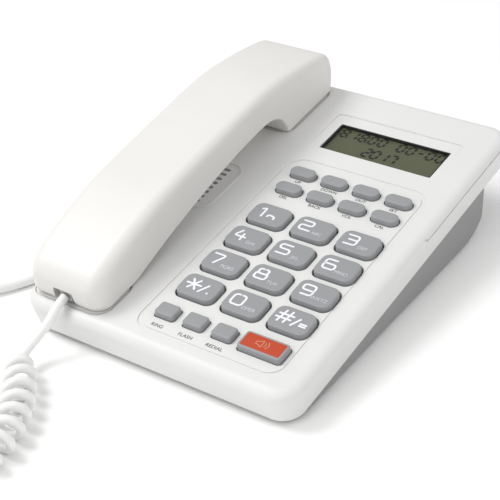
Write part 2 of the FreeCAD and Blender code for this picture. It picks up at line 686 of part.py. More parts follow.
def plug_mouth(name, reach):
    """The opening in the handset's front for the cord plug, wider at its foot, reach long."""
    face = doc.addObject("Part::Feature", name + "_outline")
    x = size("plug_x") - size("cradle_x")
    corners = ((x - 6.6, 0.0), (x + 6.9, 0.0), (x + 4.6, 8.4), (x - 6.2, 8.4))
    points = [Vector(a, -110, b) for a, b in corners]
    face.Shape = Part.Face(Part.makePolygon(points + points[:1]))
    solid = doc.addObject("Part::Extrusion", name)
    solid.Base = face
    solid.DirMode = "Custom"
    solid.Dir = Y_AXIS
    solid.Solid = True
    solid.LengthFwd = reach
    return solid


def make_handset():
    wall = size("handset_wall")
    place = on_face(size("cradle_x"))
    outer = side_profile("handset_form", handset_edges(), "Sizes.handset_width")
    outer = rounded_edges("handset_form_round", outer, top_edges(outer.Shape, 20.0),
                          size("handset_edge"))
    hollow = side_profile("handset_hollow", inner_edges(wall, -6.0),
                          "Sizes.handset_width - 2 * Sizes.handset_wall")
    mouth = plug_mouth("handset_plug_mouth", 12.0)
    finish(cut("handset_upper_cut", outer, [hollow, mouth]), "handset_upper_shell", place)

    fill = side_profile("handset_fill", inner_edges(wall + 0.1, -6.0),
                        "Sizes.handset_width - 2 * Sizes.handset_wall - 0.2")
    whole = side_profile("handset_whole", handset_edges(), "Sizes.handset_width")
    lifted = side_profile("handset_lifted", handset_edges((1.2, 2.0)), 80)
    skin = cut("handset_skin", common("handset_core", whole, fill), [lifted])
    ear = disc("ear_dome", 27.0, 3.0, (0, size("ear_y"), -0.6))
    sound = []
    for i in range(6):
        angle = math.radians(60 * i)
        sound.append(disc(f"ear_hole_{i}", 2.4, 8,
                          (6.0 * math.cos(angle), size("ear_y") + 6.0 * math.sin(angle), -3)))
    for i in range(3):
        sound.append(disc(f"mouth_hole_{i}", 1.8, 8, (12.6 + 2.8 * (i - 1), -87.2, -3)))
    for i, y in enumerate((62.5, -79.5)):
        sound.append(disc(f"handset_screw_hole_{i}", 2.8, 8, (0, y, -3)))
    mouth_below = plug_mouth("lower_plug_mouth", 21.6)
    lower = cut("handset_lower_cut", fuse("handset_lower_solid", [skin, ear]),
                [*sound, mouth_below])
    finish(lower, "handset_lower_shell", place)

    receiver = revolved("receiver_turned", ((0, 4.6), (15.0, 4.6), (15.0, 9.0), (12.0, 11.5),
                                            (0, 11.5)))
    finish(receiver, "handset_receiver", on_face(size("cradle_x"), size("ear_y")))
    finish(disc("handset_mic_can", 9.0, 6.0, (12.6, -87.2, 3.4)), "handset_microphone", place)
    finish(block("handset_weight_slab", 26.0, 38.0, 7.0, (0, 12.0, 20.0), 2.0),
           "handset_weight", place)
    x = size("plug_x") - size("cradle_x")
    jack = block("handset_jack_block", 12.0, 12.0, 9.2, (x, -94.6, 1.4))
    bore = block("handset_jack_bore", 7.9, 14.0, 6.3, (x, -97.0, 2.2))
    finish(cut("handset_jack_cut", jack, [bore]), "handset_jack", place)
    screws = []
    for i, y in enumerate((62.5, -79.5)):
        head = disc(f"handset_screw_head_{i}", 4.4, 1.2, (0, y, 3.1))
        shank = disc(f"handset_screw_shank_{i}", 2.2, 7.0, (0, y, 4.2))
        screws.append(fuse(f"handset_screw_{i}", [head, shank]))
    finish(group("handset_screw_group", screws), "handset_screws", place)


# ---------------------------------------------------------------- handset cord

def smooth_path(points):
    """Straight runs joined by tangent arcs, each arc as large as its two runs allow."""
    corners = [Vector(*p) for p in points]
    edges, radii = [], []
    start = corners[0]
    for before, here, after in zip(corners, corners[1:], corners[2:]):
        back, ahead = before - here, after - here
        turn = math.pi - back.getAngle(ahead)
        reach = 0.45 * min(back.Length, ahead.Length)
        radii.append(reach / math.tan(turn / 2))
        entry = here + back.normalize() * reach
        leave = here + ahead.normalize() * reach
        chord_middle = (entry + leave) * 0.5
        drop = radii[-1] / math.cos(turn / 2) - radii[-1]
        crest = here + (chord_middle - here).normalize() * drop
        edges.append(Part.LineSegment(start, entry).toShape())
        edges.append(Part.Arc(entry, crest, leave).toShape())
        start = leave
    edges.append(Part.LineSegment(start, corners[-1]).toShape())
    return Part.Wire(edges), radii


def tube(label, points, width):
    """A round tube along the smooth path through the route's points."""
    path, radii = smooth_path(points)
    first = path.Edges[0]
    heading = first.tangentAt(first.FirstParameter)
    ring_edge = Part.makeCircle(width / 2, Vector(*points[0]), heading)
    sweep = Part.BRepOffsetAPI.MakePipeShell(path)
    sweep.setTransitionMode(1)
    sweep.add(Part.Wire([ring_edge]))
    sweep.build()
    sweep.makeSolid()
    item = doc.addObject("Part::Feature", label)
    item.Shape = sweep.shape()
    expected = math.pi * (width / 2) ** 2 * path.Length
    print(f"{label}: length {path.Length:.1f} mm, volume ratio {item.Shape.Volume / expected:.4f},"
          f" radii {min(radii):.1f} to {max(radii):.1f} mm")
    print("  radii:", " ".join(f"{r:.1f}" for r in radii))
    finish(item, label, Placement())


def make_cord():
    x = size("plug_x")
    body = block("handset_plug_body", 7.6, 11.6, 5.8, (0, 0, 0), 0.3)
    doc.recompute()
    body.Placement = on_face(x, -97.7, 2.4)
    finish(body, "handset_plug")
    y, z = size("jack_y"), size("jack_height")
    plug = block("base_plug_body", 12.0, 7.6, 6.5, (-68.3, y, z - 3.25))
    finish(plug, "base_plug")
    tube("cord_lead", LEAD, size("wire_width"))
    tube("cord_coil", COIL, size("coil_width"))
    tube("cord_tail", TAIL, size("wire_width"))


def check_and_write():
    """Stop on any failed feature or bad solid, then write one STEP file a node."""
    doc.recompute()
    for item in doc.Objects:
        if {"Invalid", "Error"} & set(item.State):
            raise RuntimeError(f"{item.Label} did not compute: {item.State}")
    labels = [item.Label for item in NODES]
    if len(set(labels)) != len(labels):
        raise RuntimeError("two nodes share a label")
    os.makedirs("parts", exist_ok=True)
    for item in NODES:
        shape = item.Shape
        if shape.isNull() or not shape.isValid() or not shape.Solids:
            raise RuntimeError(f"{item.Label} has no sound shape")
        shape.exportStep(f"parts/{item.Label}.step")
    print(f"wrote {len(labels)} nodes")


make_keys()
make_top_cover()
make_bottom_case()
make_feet_and_screws()
make_display()
make_key_electronics()
make_main_board()
make_board_ribbon()
make_sound_parts()
make_jacks()
make_hook_plunger()
make_handset()
make_cord()
check_and_write()
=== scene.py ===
# Looks of a corded desk telephone: casing, keys, display, handset and its curly cord.

import json
import logging
import math
from dataclasses import dataclass
from enum import Enum
from typing import ClassVar, Iterable, Sequence

import bmesh
import bpy
import numpy as np
from mathutils import Matrix, Vector

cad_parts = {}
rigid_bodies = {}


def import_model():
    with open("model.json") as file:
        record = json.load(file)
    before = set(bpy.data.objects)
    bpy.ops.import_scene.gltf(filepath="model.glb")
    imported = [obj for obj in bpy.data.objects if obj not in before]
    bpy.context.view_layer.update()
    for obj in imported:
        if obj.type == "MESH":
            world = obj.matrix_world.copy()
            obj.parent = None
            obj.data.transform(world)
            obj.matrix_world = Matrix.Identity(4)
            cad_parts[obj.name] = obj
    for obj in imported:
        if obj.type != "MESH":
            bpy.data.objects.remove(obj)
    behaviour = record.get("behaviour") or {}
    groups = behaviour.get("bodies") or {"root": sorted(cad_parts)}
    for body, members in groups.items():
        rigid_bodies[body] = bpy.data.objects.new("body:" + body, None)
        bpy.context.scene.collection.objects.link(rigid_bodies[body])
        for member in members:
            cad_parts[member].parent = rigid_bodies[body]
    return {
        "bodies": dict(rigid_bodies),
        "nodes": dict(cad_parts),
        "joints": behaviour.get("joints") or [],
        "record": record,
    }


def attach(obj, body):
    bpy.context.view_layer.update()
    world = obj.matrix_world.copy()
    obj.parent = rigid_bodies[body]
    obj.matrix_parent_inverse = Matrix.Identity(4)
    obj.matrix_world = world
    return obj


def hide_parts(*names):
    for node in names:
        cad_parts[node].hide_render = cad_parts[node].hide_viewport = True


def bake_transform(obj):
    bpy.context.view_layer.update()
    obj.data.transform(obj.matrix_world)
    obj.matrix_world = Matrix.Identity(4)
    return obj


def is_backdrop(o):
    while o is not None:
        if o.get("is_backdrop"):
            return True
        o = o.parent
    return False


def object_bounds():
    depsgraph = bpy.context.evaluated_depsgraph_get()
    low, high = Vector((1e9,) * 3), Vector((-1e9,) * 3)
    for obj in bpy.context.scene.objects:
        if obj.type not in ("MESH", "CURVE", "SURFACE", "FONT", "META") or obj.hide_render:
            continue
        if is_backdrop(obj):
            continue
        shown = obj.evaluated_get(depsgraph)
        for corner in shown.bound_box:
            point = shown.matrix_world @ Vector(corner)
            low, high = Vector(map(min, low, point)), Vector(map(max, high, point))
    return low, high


logging.basicConfig(level=logging.INFO, format="%(name)s: %(message)s")
LOG = logging.getLogger("telephone")

# Lengths are in metres unless a docstring says otherwise.
MM = 0.001
LEAST = 1e-5
CRISP_ANGLE = 32.0

Colour = tuple[float, float, float]
Point = tuple[float, float, float]
Pair = tuple[float, float]
Rings = list[list[Vector]]
Tree = bpy.types.NodeTree
Node = bpy.types.Node


# ---------------------------------------------------------------- finishes

class Grain(Enum):
    """How fine a finish's surface texture is, as noise cells per metre."""

    MOULDED = 2600.0
    SATIN = 900.0
    SOFT = 420.0
    BRUSHED = 1500.0


@dataclass(frozen=True)
class Finish:
    """One material: its colour, gloss and the small unevenness that real surfaces have."""

    name: str
    colour: Colour
    roughness: float = 0.45
    metallic: float = 0.0
    grain: Grain = Grain.MOULDED
    bump: float = 0.05
    tone: float = 0.03
    gloss_drift: float = 0.06
    coat: float = 0.0
    transmission: float = 0.0
    subsurface: float = 0.0
    clear: float = 0.0

    FINE_DETAIL: ClassVar[float] = 3.0
    BROAD_SCALE: ClassVar[float] = 38.0
    BROAD_DETAIL: ClassVar[float] = 5.0
    LIGHTER_SHARE: ClassVar[float] = 0.6
    LEAST_ROUGHNESS: ClassVar[float] = 0.02
    RELIEF_DEPTH: ClassVar[float] = 0.0002
    GLOW_DEPTH: ClassVar[float] = 0.002
    GLOW_TINT: ClassVar[Colour] = (1.0, 1.0, 0.9)

    def build(self) -> bpy.types.Material:
        """Makes the node material.

        Returns:
            A material with procedural colour, roughness and bump variation.
        """
        made = bpy.data.materials.new(self.name)
        made.use_nodes = True
        tree = made.node_tree
        tree.nodes.clear()
        output = tree.nodes.new("ShaderNodeOutputMaterial")
        shader = self._shader(tree)
        place = tree.nodes.new("ShaderNodeTexCoord")
        fine = self._noise(tree, place, self.grain.value, self.FINE_DETAIL)
        broad = self._noise(tree, place, self.BROAD_SCALE, self.BROAD_DETAIL)
        self._tint(tree, broad, shader)
        self._gloss(tree, broad, shader)
        self._relief(tree, fine, shader)
        surface = shader.outputs["BSDF"]
        if self.clear > 0.0:
            surface = self._see_through(tree, shader)
        tree.links.new(surface, output.inputs["Surface"])
        return made

    def _shader(self, tree: Tree) -> Node:
        """The surface shader, with the values that don't vary over the piece.

        Args:
            tree: the material's node tree.

        Returns:
            The shader node.
        """
        shader = tree.nodes.new("ShaderNodeBsdfPrincipled")
        for name, value in (("Metallic", self.metallic), ("Coat Weight", self.coat),
                            ("Transmission Weight", self.transmission),
                            ("Subsurface Weight", self.subsurface),
                            ("Subsurface Radius", self.GLOW_TINT),
                            ("Subsurface Scale", self.GLOW_DEPTH)):
            shader.inputs[name].default_value = value
        return shader

    def _tint(self, tree: Tree, pattern: Node, shader: Node) -> None:
        """Lets the colour drift between a darker and a lighter tone.

        Args:
            tree: the material's node tree.
            pattern: the noise that the colour follows.
            shader: the shader that gets the colour.
        """
        darker = tuple(c * (1.0 - self.tone) for c in self.colour)
        lighter = tuple(min(1.0, c * (1.0 + self.tone * self.LIGHTER_SHARE))
                        for c in self.colour)
        mix = tree.nodes.new("ShaderNodeMix")
        mix.data_type = "RGBA"
        mix.inputs["A"].default_value = (*darker, 1.0)
        mix.inputs["B"].default_value = (*lighter, 1.0)
        tree.links.new(pattern.outputs["Fac"], mix.inputs["Factor"])
        tree.links.new(mix.outputs["Result"], shader.inputs["Base Color"])

    def _gloss(self, tree: Tree, pattern: Node, shader: Node) -> None:
        """Lets the roughness drift about its own value.

        Args:
            tree: the material's node tree.
            pattern: the noise that the roughness follows.
            shader: the shader that gets the roughness.
        """
        gloss = tree.nodes.new("ShaderNodeMapRange")
        gloss.inputs["To Min"].default_value = max(self.LEAST_ROUGHNESS,
                                                   self.roughness - self.gloss_drift)
        gloss.inputs["To Max"].default_value = min(1.0, self.roughness + self.gloss_drift)
        tree.links.new(pattern.outputs["Fac"], gloss.inputs["Value"])
        tree.links.new(gloss.outputs["Result"], shader.inputs["Roughness"])

    def _relief(self, tree: Tree, pattern: Node, shader: Node) -> None:
        """Raises the fine surface texture.

        Args:
            tree: the material's node tree.
            pattern: the noise that the relief follows.
            shader: the shader that gets the relief.
        """
        relief = tree.nodes.new("ShaderNodeBump")
        relief.inputs["Strength"].default_value = self.bump
        relief.inputs["Distance"].default_value = self.RELIEF_DEPTH
        tree.links.new(pattern.outputs["Fac"], relief.inputs["Height"])
        tree.links.new(relief.outputs["Normal"], shader.inputs["Normal"])

    def _see_through(self, tree: Tree, shader: Node) -> bpy.types.NodeSocket:
        """Mixes the surface with clear air, for a thin window.

        Args:
            tree: the material's node tree.
            shader: the surface's own shader.

        Returns:
            The mixed surface's socket.
        """
        through = tree.nodes.new("ShaderNodeBsdfTransparent")
        blend = tree.nodes.new("ShaderNodeMixShader")
        blend.inputs["Fac"].default_value = self.clear
        tree.links.new(shader.outputs["BSDF"], blend.inputs[1])
        tree.links.new(through.outputs["BSDF"], blend.inputs[2])
        return blend.outputs["Shader"]

    @staticmethod
    def _noise(tree: Tree, place: Node, scale: float, detail: float) -> Node:
        """Adds a noise pattern in the piece's own axes.

        Args:
            tree: the material's node tree.
            place: the node that gives the coordinates.
            scale: noise cells per metre.
            detail: layers of finer noise.

        Returns:
            The noise node.
        """
        noise = tree.nodes.new("ShaderNodeTexNoise")
        noise.inputs["Scale"].default_value = scale
        noise.inputs["Detail"].default_value = detail
        tree.links.new(place.outputs["Object"], noise.inputs["Vector"])
        return noise


class Slot(Enum):
    """The record's material slots, each with the finish it gets here."""

    WHITE = ("white_shell", Finish("white casing", (0.70, 0.698, 0.688), 0.5, bump=0.06))
    HANDSET = ("handset_white", Finish("handset casing", (0.705, 0.697, 0.678), 0.46, bump=0.05))
    GREY = ("grey_case", Finish("grey casing", (0.26, 0.262, 0.262), 0.55, bump=0.08))
    KEY = ("grey_key", Finish("grey key", (0.285, 0.29, 0.30), 0.55, grain=Grain.SATIN))
    ORANGE = ("orange_key", Finish("orange key", (0.47, 0.05, 0.012), 0.62, grain=Grain.SATIN))
    BLACK = ("black_plastic", Finish("black plastic", (0.012, 0.012, 0.012), 0.4))
    RUBBER = ("black_rubber", Finish("rubber foot", (0.02, 0.02, 0.02), 0.8, grain=Grain.SOFT,
                                     bump=0.3))
    SILICONE = ("silicone", Finish("silicone mat", (0.5, 0.5, 0.48), 0.7, grain=Grain.SOFT))
    STEEL = ("steel", Finish("steel", (0.55, 0.55, 0.56), 0.32, metallic=1.0,
                             grain=Grain.BRUSHED, bump=0.12))
    LENS = ("clear_lens", Finish("display window", (0.05, 0.055, 0.05), 0.1, bump=0.01,
                                 gloss_drift=0.02, clear=0.93))
    LCD = ("lcd_glass", Finish("display panel", (0.105, 0.115, 0.06), 0.3, grain=Grain.SATIN,
                               bump=0.02, tone=0.06))
    BOARD = ("circuit_board", Finish("circuit board", (0.03, 0.16, 0.06), 0.35, tone=0.2))
    RIBBON = ("ribbon_cable", Finish("ribbon cable", (0.6, 0.6, 0.6), 0.5))
    SOUND = ("speaker_metal", Finish("sound unit", (0.3, 0.3, 0.3), 0.4, metallic=0.8,
                                     grain=Grain.BRUSHED, bump=0.15))
    PLUG = ("clear_plug", Finish("plug", (0.75, 0.77, 0.78), 0.12, bump=0.02,
                                 transmission=0.75))
    CORD = ("cord_jacket", Finish("cord jacket", (0.80, 0.80, 0.79), 0.3, grain=Grain.SATIN,
                                  bump=0.04, subsurface=0.35, coat=0.2))

    @property
    def slot(self) -> str:
        """The name of the slot in the record."""
        return self.value[0]

    @property
    def finish(self) -> Finish:
        """The finish that the slot gets."""
        return self.value[1]


EXTRA_FINISHES = (
    Finish("key legend", (0.80, 0.80, 0.84), 0.5, bump=0.02),
    Finish("small legend", (0.60, 0.61, 0.65), 0.5, bump=0.02),
    Finish("speaker print", (0.62, 0.27, 0.16), 0.45, bump=0.02),
    Finish("panel print", (0.03, 0.03, 0.035), 0.5, bump=0.02),
    Finish("display digit", (0.006, 0.007, 0.005), 0.6, bump=0.02),
    Finish("gold contact", (0.83, 0.58, 0.2), 0.25, metallic=1.0, grain=Grain.BRUSHED),
    Finish("studio floor", (0.96, 0.96, 0.955), 0.7, grain=Grain.SOFT, bump=0.0, tone=0.0,
           gloss_drift=0.02),
)


class Paint:
    """Hands out each material, made once."""

    def __init__(self) -> None:
        """Starts with no material made yet."""
        self._made: dict[str, bpy.types.Material] = {}
        self._extra = {finish.name: finish for finish in EXTRA_FINISHES}

    def dress(self, piece: bpy.types.Object, slot: Slot) -> bpy.types.Object:
        """Gives a piece the finish of a record slot.

        Args:
            piece: the object to paint.
            slot: the record's slot.

        Returns:
            The same piece.
        """
        self._set(piece, slot.finish)
        return piece

    def dress_extra(self, piece: bpy.types.Object, name: str) -> bpy.types.Object:
        """Gives a piece one of the finishes that no record slot has."""
        self._set(piece, self._extra[name])
        return piece

    def _set(self, piece: bpy.types.Object, finish: Finish) -> None:
        """Puts a finish on a piece, and makes its material the first time.

        Args:
            piece: the object to paint.
            finish: the finish it gets.
        """
        if finish.name not in self._made:
            self._made[finish.name] = finish.build()
        piece.data.materials.clear()
        piece.data.materials.append(self._made[finish.name])


# ---------------------------------------------------------------- mesh helpers

RIM_STEPS = 6
DOME_SHARES = (0.12, 0.3, 0.55, 0.8)
CORNER_KEEP = 0.6
LEAST_CORNER = 0.0002


def new_object(name: str, mesh: bpy.types.Mesh) -> bpy.types.Object:
    """Puts a mesh into the scene under its own name.

    Args:
        name: the object's name.
        mesh: the object's mesh.

    Returns:
        The new object.
    """
    made = bpy.data.objects.new(name, mesh)
    bpy.context.scene.collection.objects.link(made)
    return made


def smooth(mesh: bpy.types.Mesh, angle: float = CRISP_ANGLE) -> None:
    """Smooth shading, with edges sharper than angle degrees kept crisp."""
    mesh.polygons.foreach_set("use_smooth", [True] * len(mesh.polygons))
    mesh.set_sharp_from_angle(angle=math.radians(angle))


def rounded_loop(width: float, depth: float, corner: float, steps: int = 8) -> list[Vector]:
    """Points round a rounded rectangle in the XY plane, anticlockwise.

    Args:
        width: size along X.
        depth: size along Y.
        corner: corner radius.
        steps: segments in each corner.
    Returns:
        The points, none of them twice.
    """
    corner = max(LEAST, min(corner, width / 2 - LEAST, depth / 2 - LEAST))
    centres = ((1, -1, -90), (1, 1, 0), (-1, 1, 90), (-1, -1, 180))
    points = []
    for sign_x, sign_y, start in centres:
        middle = Vector((sign_x * (width / 2 - corner), sign_y * (depth / 2 - corner), 0))
        for i in range(steps + 1):
            angle = math.radians(start + 90 * i / steps)
            points.append(middle + corner * Vector((math.cos(angle), math.sin(angle), 0)))
    return points


def skin(name: str, rings: Sequence[Sequence[Vector]], closed_ends: bool = True,
         angle: float = CRISP_ANGLE) -> bpy.types.Mesh:
    """Joins rings of equal length into a closed skin.

    Args:
        name: the mesh's name.
        rings: point rings from one end to the other.
        closed_ends: whether the first and last rings get a face.
        angle: shading angle in degrees.
    Returns:
        The mesh, with its faces turned outwards.
    """
    count = len(rings[0])
    verts = [tuple(p) for ring in rings for p in ring]
    faces = []
    for r in range(len(rings) - 1):
        for i in range(count):
            j = (i + 1) % count
            faces.append((r * count + i, r * count + j, (r + 1) * count + j,
                          (r + 1) * count + i))
    if closed_ends:
        faces.append(tuple(reversed(range(count))))
        faces.append(tuple((len(rings) - 1) * count + i for i in range(count)))
    mesh = bpy.data.meshes.new(name)
    mesh.from_pydata(verts, [], faces)
    mesh.validate()
    repair = bmesh.new()
    repair.from_mesh(mesh)
    bmesh.ops.recalc_face_normals(repair, faces=repair.faces)
    repair.to_mesh(mesh)
    repair.free()
    smooth(mesh, angle)
    return mesh


def cushioned(width: float, depth: float, corner: float, low: float, high: float,
              edge: float, crown: float, draft: float = 0.0) -> Rings:
    """Rings of a moulded cap: straight drafted sides, a rounded rim and a slightly domed top.

    Args:
        width: size along X at the foot.
        depth: size along Y at the foot.
        corner: corner radius in plan.
        low: height of the foot.
        high: height of the rim's top.
        edge: radius of the rim.
        crown: how far the middle of the top stands above the rim.
        draft: how far each side leans in from foot to rim.
    Returns:
        The rings, from the foot to near the middle of the top.
    """
    rings = [[p + Vector((0, 0, low)) for p in rounded_loop(width, depth, corner)]]
    for i in range(RIM_STEPS + 1):
        angle = math.radians(90 * i / RIM_STEPS)
        inset = draft + edge * (1 - math.cos(angle))
        level = high - edge + edge * math.sin(angle)
        ring = rounded_loop(width - 2 * inset, depth - 2 * inset, corner - inset * CORNER_KEEP)
        rings.append([p + Vector((0, 0, level)) for p in ring])
    inset = draft + edge
    for share in DOME_SHARES:
        lean = inset + share * (min(width, depth) / 2 - inset)
        ring = rounded_loop(width - 2 * lean, depth - 2 * lean,
                            max(LEAST_CORNER, corner - lean * CORNER_KEEP))
        rise = crown * (1 - (1 - share) ** 2)
        rings.append([p + Vector((0, 0, high + rise)) for p in ring])
    return rings


def placed(mesh: bpy.types.Mesh, place: Matrix) -> bpy.types.Mesh:
    """Moves a mesh's own points."""
    mesh.transform(place)
    return mesh


def cubic_through(points: Sequence[Sequence[float]], steps: int) -> list[tuple[float, ...]]:
    """A smooth Catmull-Rom curve through points.

    Args:
        points: the points, with any number of values each.
        steps: pieces between one point and the next.

    Returns:
        The curve's points, with both end points among them.
    """
    ends = [points[0], *points, points[-1]]
    made = []
    for a, b, c, d in zip(ends, ends[1:], ends[2:], ends[3:]):
        for i in range(steps):
            t = i / steps
            made.append(tuple(
                0.5 * (2 * q + (r - p) * t + (2 * p - 5 * q + 4 * r - s) * t * t
                       + (3 * q - p - 3 * r + s) * t ** 3)
                for p, q, r, s in zip(a, b, c, d)))
    made.append(tuple(points[-1]))
    return made


# ---------------------------------------------------------------- the sloped panel

class Panel:
    """The telephone's sloped top: x across, y up the slope and z out of it."""

    FACE_SHIFT = -0.75 * MM
    FACE_HEIGHT = 34.6 * MM

    def __init__(self, frame: dict) -> None:
        """Reads the slope from the way a dial key is pressed.

        Args:
            frame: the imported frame.
        """
        press = next(j for j in frame["joints"] if j["name"] == "key_1_press")
        self.tilt = math.atan2(press["axis"][1], -press["axis"][2])
        self.place = (Matrix.Translation((0, self.FACE_SHIFT, self.FACE_HEIGHT))
                      @ Matrix.Rotation(self.tilt, 4, "X"))
        self._back = self.place.inverted()
        self._nodes = frame["nodes"]

    def at(self, x: float = 0.0, y: float = 0.0, z: float = 0.0) -> Matrix:
        """The placement of a piece that stands at a point of the panel."""
        return self.place @ Matrix.Translation((x, y, z))

    def box(self, node: str) -> tuple[Vector, Vector]:
        """A CAD node's lowest and highest corners in the panel's own axes."""
        points = np.array([self._back @ v.co for v in self._nodes[node].data.vertices])
        return Vector(points.min(0)), Vector(points.max(0))


# ---------------------------------------------------------------- keys

@dataclass(frozen=True)
class KeyShape:
    """The moulded form of one family of keys, in metres.

    Clearance is how far the cap's sides stand inside the opening's fit, and drop how far its
    face lies below the full height.
    """

    corner: float
    edge: float
    crown: float
    draft: float
    clearance: float = 0.1 * MM
    drop: float = 0.0


@dataclass(frozen=True)
class Mark:
    """One printed mark: its words, letter height and place from the key's middle."""

    words: str
    height: float
    x: float
    y: float


NUMBER_SHAPE = KeyShape(4.2 * MM, 0.65 * MM, 0.12 * MM, 0.25 * MM, 0.35 * MM, 0.45 * MM)
FUNCTION_SHAPE = KeyShape(3.4 * MM, 0.65 * MM, 0.1 * MM, 0.18 * MM)
MODE_SHAPE = KeyShape(1.5 * MM, 0.8 * MM, 0.08 * MM, 0.15 * MM)
TALK_SHAPE = KeyShape(1.7 * MM, 0.7 * MM, 0.0, 0.15 * MM)
LENS_SHAPE = KeyShape(0.8 * MM, 0.35 * MM, 0.1 * MM, 0.0)

LETTERS = {"0": "OPER", "2": "ABC", "3": "DEF", "4": "GHI", "5": "JKL", "6": "MNO",
           "7": "PQRS", "8": "TUV", "9": "WXYZ"}

Stroke = tuple[Pair, ...]

# Each digit is strokes on a unit square, from its lower left corner to its upper right one.
DIGIT_STROKES: dict[str, tuple[Stroke, ...]] = {
    "0": (((0.5, 1), (0.84, 1), (1, 0.84), (1, 0.16), (0.84, 0), (0.16, 0), (0, 0.16),
           (0, 0.84), (0.16, 1), (0.5, 1)),),
    "1": (((0.28, 0.82), (0.6, 1), (0.6, 0)),),
    "2": (((0.05, 1), (1, 1), (1, 0.52), (0, 0.52), (0, 0), (1, 0)),),
    "3": (((0.05, 1), (1, 1), (1, 0), (0.05, 0)), ((0.25, 0.52), (1, 0.52))),
    "4": (((0.42, 1), (0, 0.34), (1, 0.34)), ((0.72, 0.68), (0.72, 0))),
    "5": (((0.95, 1), (0, 1), (0, 0.54), (1, 0.54), (1, 0), (0, 0)),),
    "6": (((0.85, 1), (0, 1), (0, 0), (1, 0), (1, 0.54), (0, 0.54)),),
    "7": (((0, 1), (1, 1), (0.42, 0)),),
    "8": (((0.5, 1), (0.9, 1), (0.9, 0.52), (0.1, 0.52), (0.1, 1), (0.5, 1)),
          ((0.2, 0.52), (0, 0.52), (0, 0), (1, 0), (1, 0.52), (0.8, 0.52))),
    "9": (((0.15, 0), (1, 0), (1, 1), (0, 1), (0, 0.46), (1, 0.46)),),
    "star": (((0, 0.5), (1, 0.5)), ((0.24, 0.08), (0.76, 0.92)), ((0.24, 0.92), (0.76, 0.08))),
    "hash": (((0, 0.33), (0.92, 0.33)), ((0.08, 0.67), (1, 0.67)),
             ((0.22, 0), (0.38, 1)), ((0.62, 0), (0.78, 1))),
    "slash": (((0, 0), (0.7, 1)),),
    "dot": (((0, 0), (1, 0)),),
    "equals": (((0, 0.2), (1, 0.2)), ((0, 0.8), (1, 0.8))),
    "receiver": (((0, 0.5), (0.05, 0.95), (0.5, 1), (0.95, 0.7), (1, 0.2)),),
}


@dataclass(frozen=True)
class Glyph:
    """A stroked mark: its name, lower left corner, width and height, in millimetres."""

    name: str
    x: float
    y: float
    width: float
    height: float


DIGIT_BOX = (-7.0, -2.9, 6.2, 6.6)


def digit(name: str) -> Glyph:
    """The large digit at a dial key's left."""
    return Glyph(name, *DIGIT_BOX)


STROKE_MARKS: dict[str, tuple[Glyph, ...]] = {
    **{name: (digit(name),) for name in "023456789"},
    "1": (digit("1"), Glyph("receiver", -0.2, -3.2, 4.0, 2.6)),
    "star": (Glyph("star", -7.2, -3.4, 7.6, 7.4), Glyph("slash", 1.0, -3.4, 4.2, 5.4),
             Glyph("dot", 5.6, -2.8, 0.16, 0.0)),
    "hash": (Glyph("hash", -7.8, -3.2, 8.0, 7.4), Glyph("slash", 1.2, -3.4, 3.6, 5.0),
             Glyph("equals", 5.0, -2.6, 3.0, 2.2)),
}
SPEAKER_MARK = (
    ((-3.6, -0.9), (-3.6, 0.9), (-2.2, 0.9), (-0.4, 2.2), (-0.4, -2.2), (-2.2, -0.9),
     (-3.6, -0.9)),
    ((0.8, -1.2), (1.3, 0.0), (0.8, 1.2)),
    ((2.0, -2.0), (2.9, 0.0), (2.0, 2.0)),
)
FUNCTION_WORDS = ("UP", "DOWN", "OUT", "SET", "DEL", "BACK", "VOL", "CAL")
MODE_WORDS = ("RING", "FLASH", "REDIAL")


STROKE_STEP = 0.01 * MM
END_STEPS = 6
BEND_STEPS = 5
BEND_SHARE = 0.45
SIZE_TO_CAPITALS = 1.38


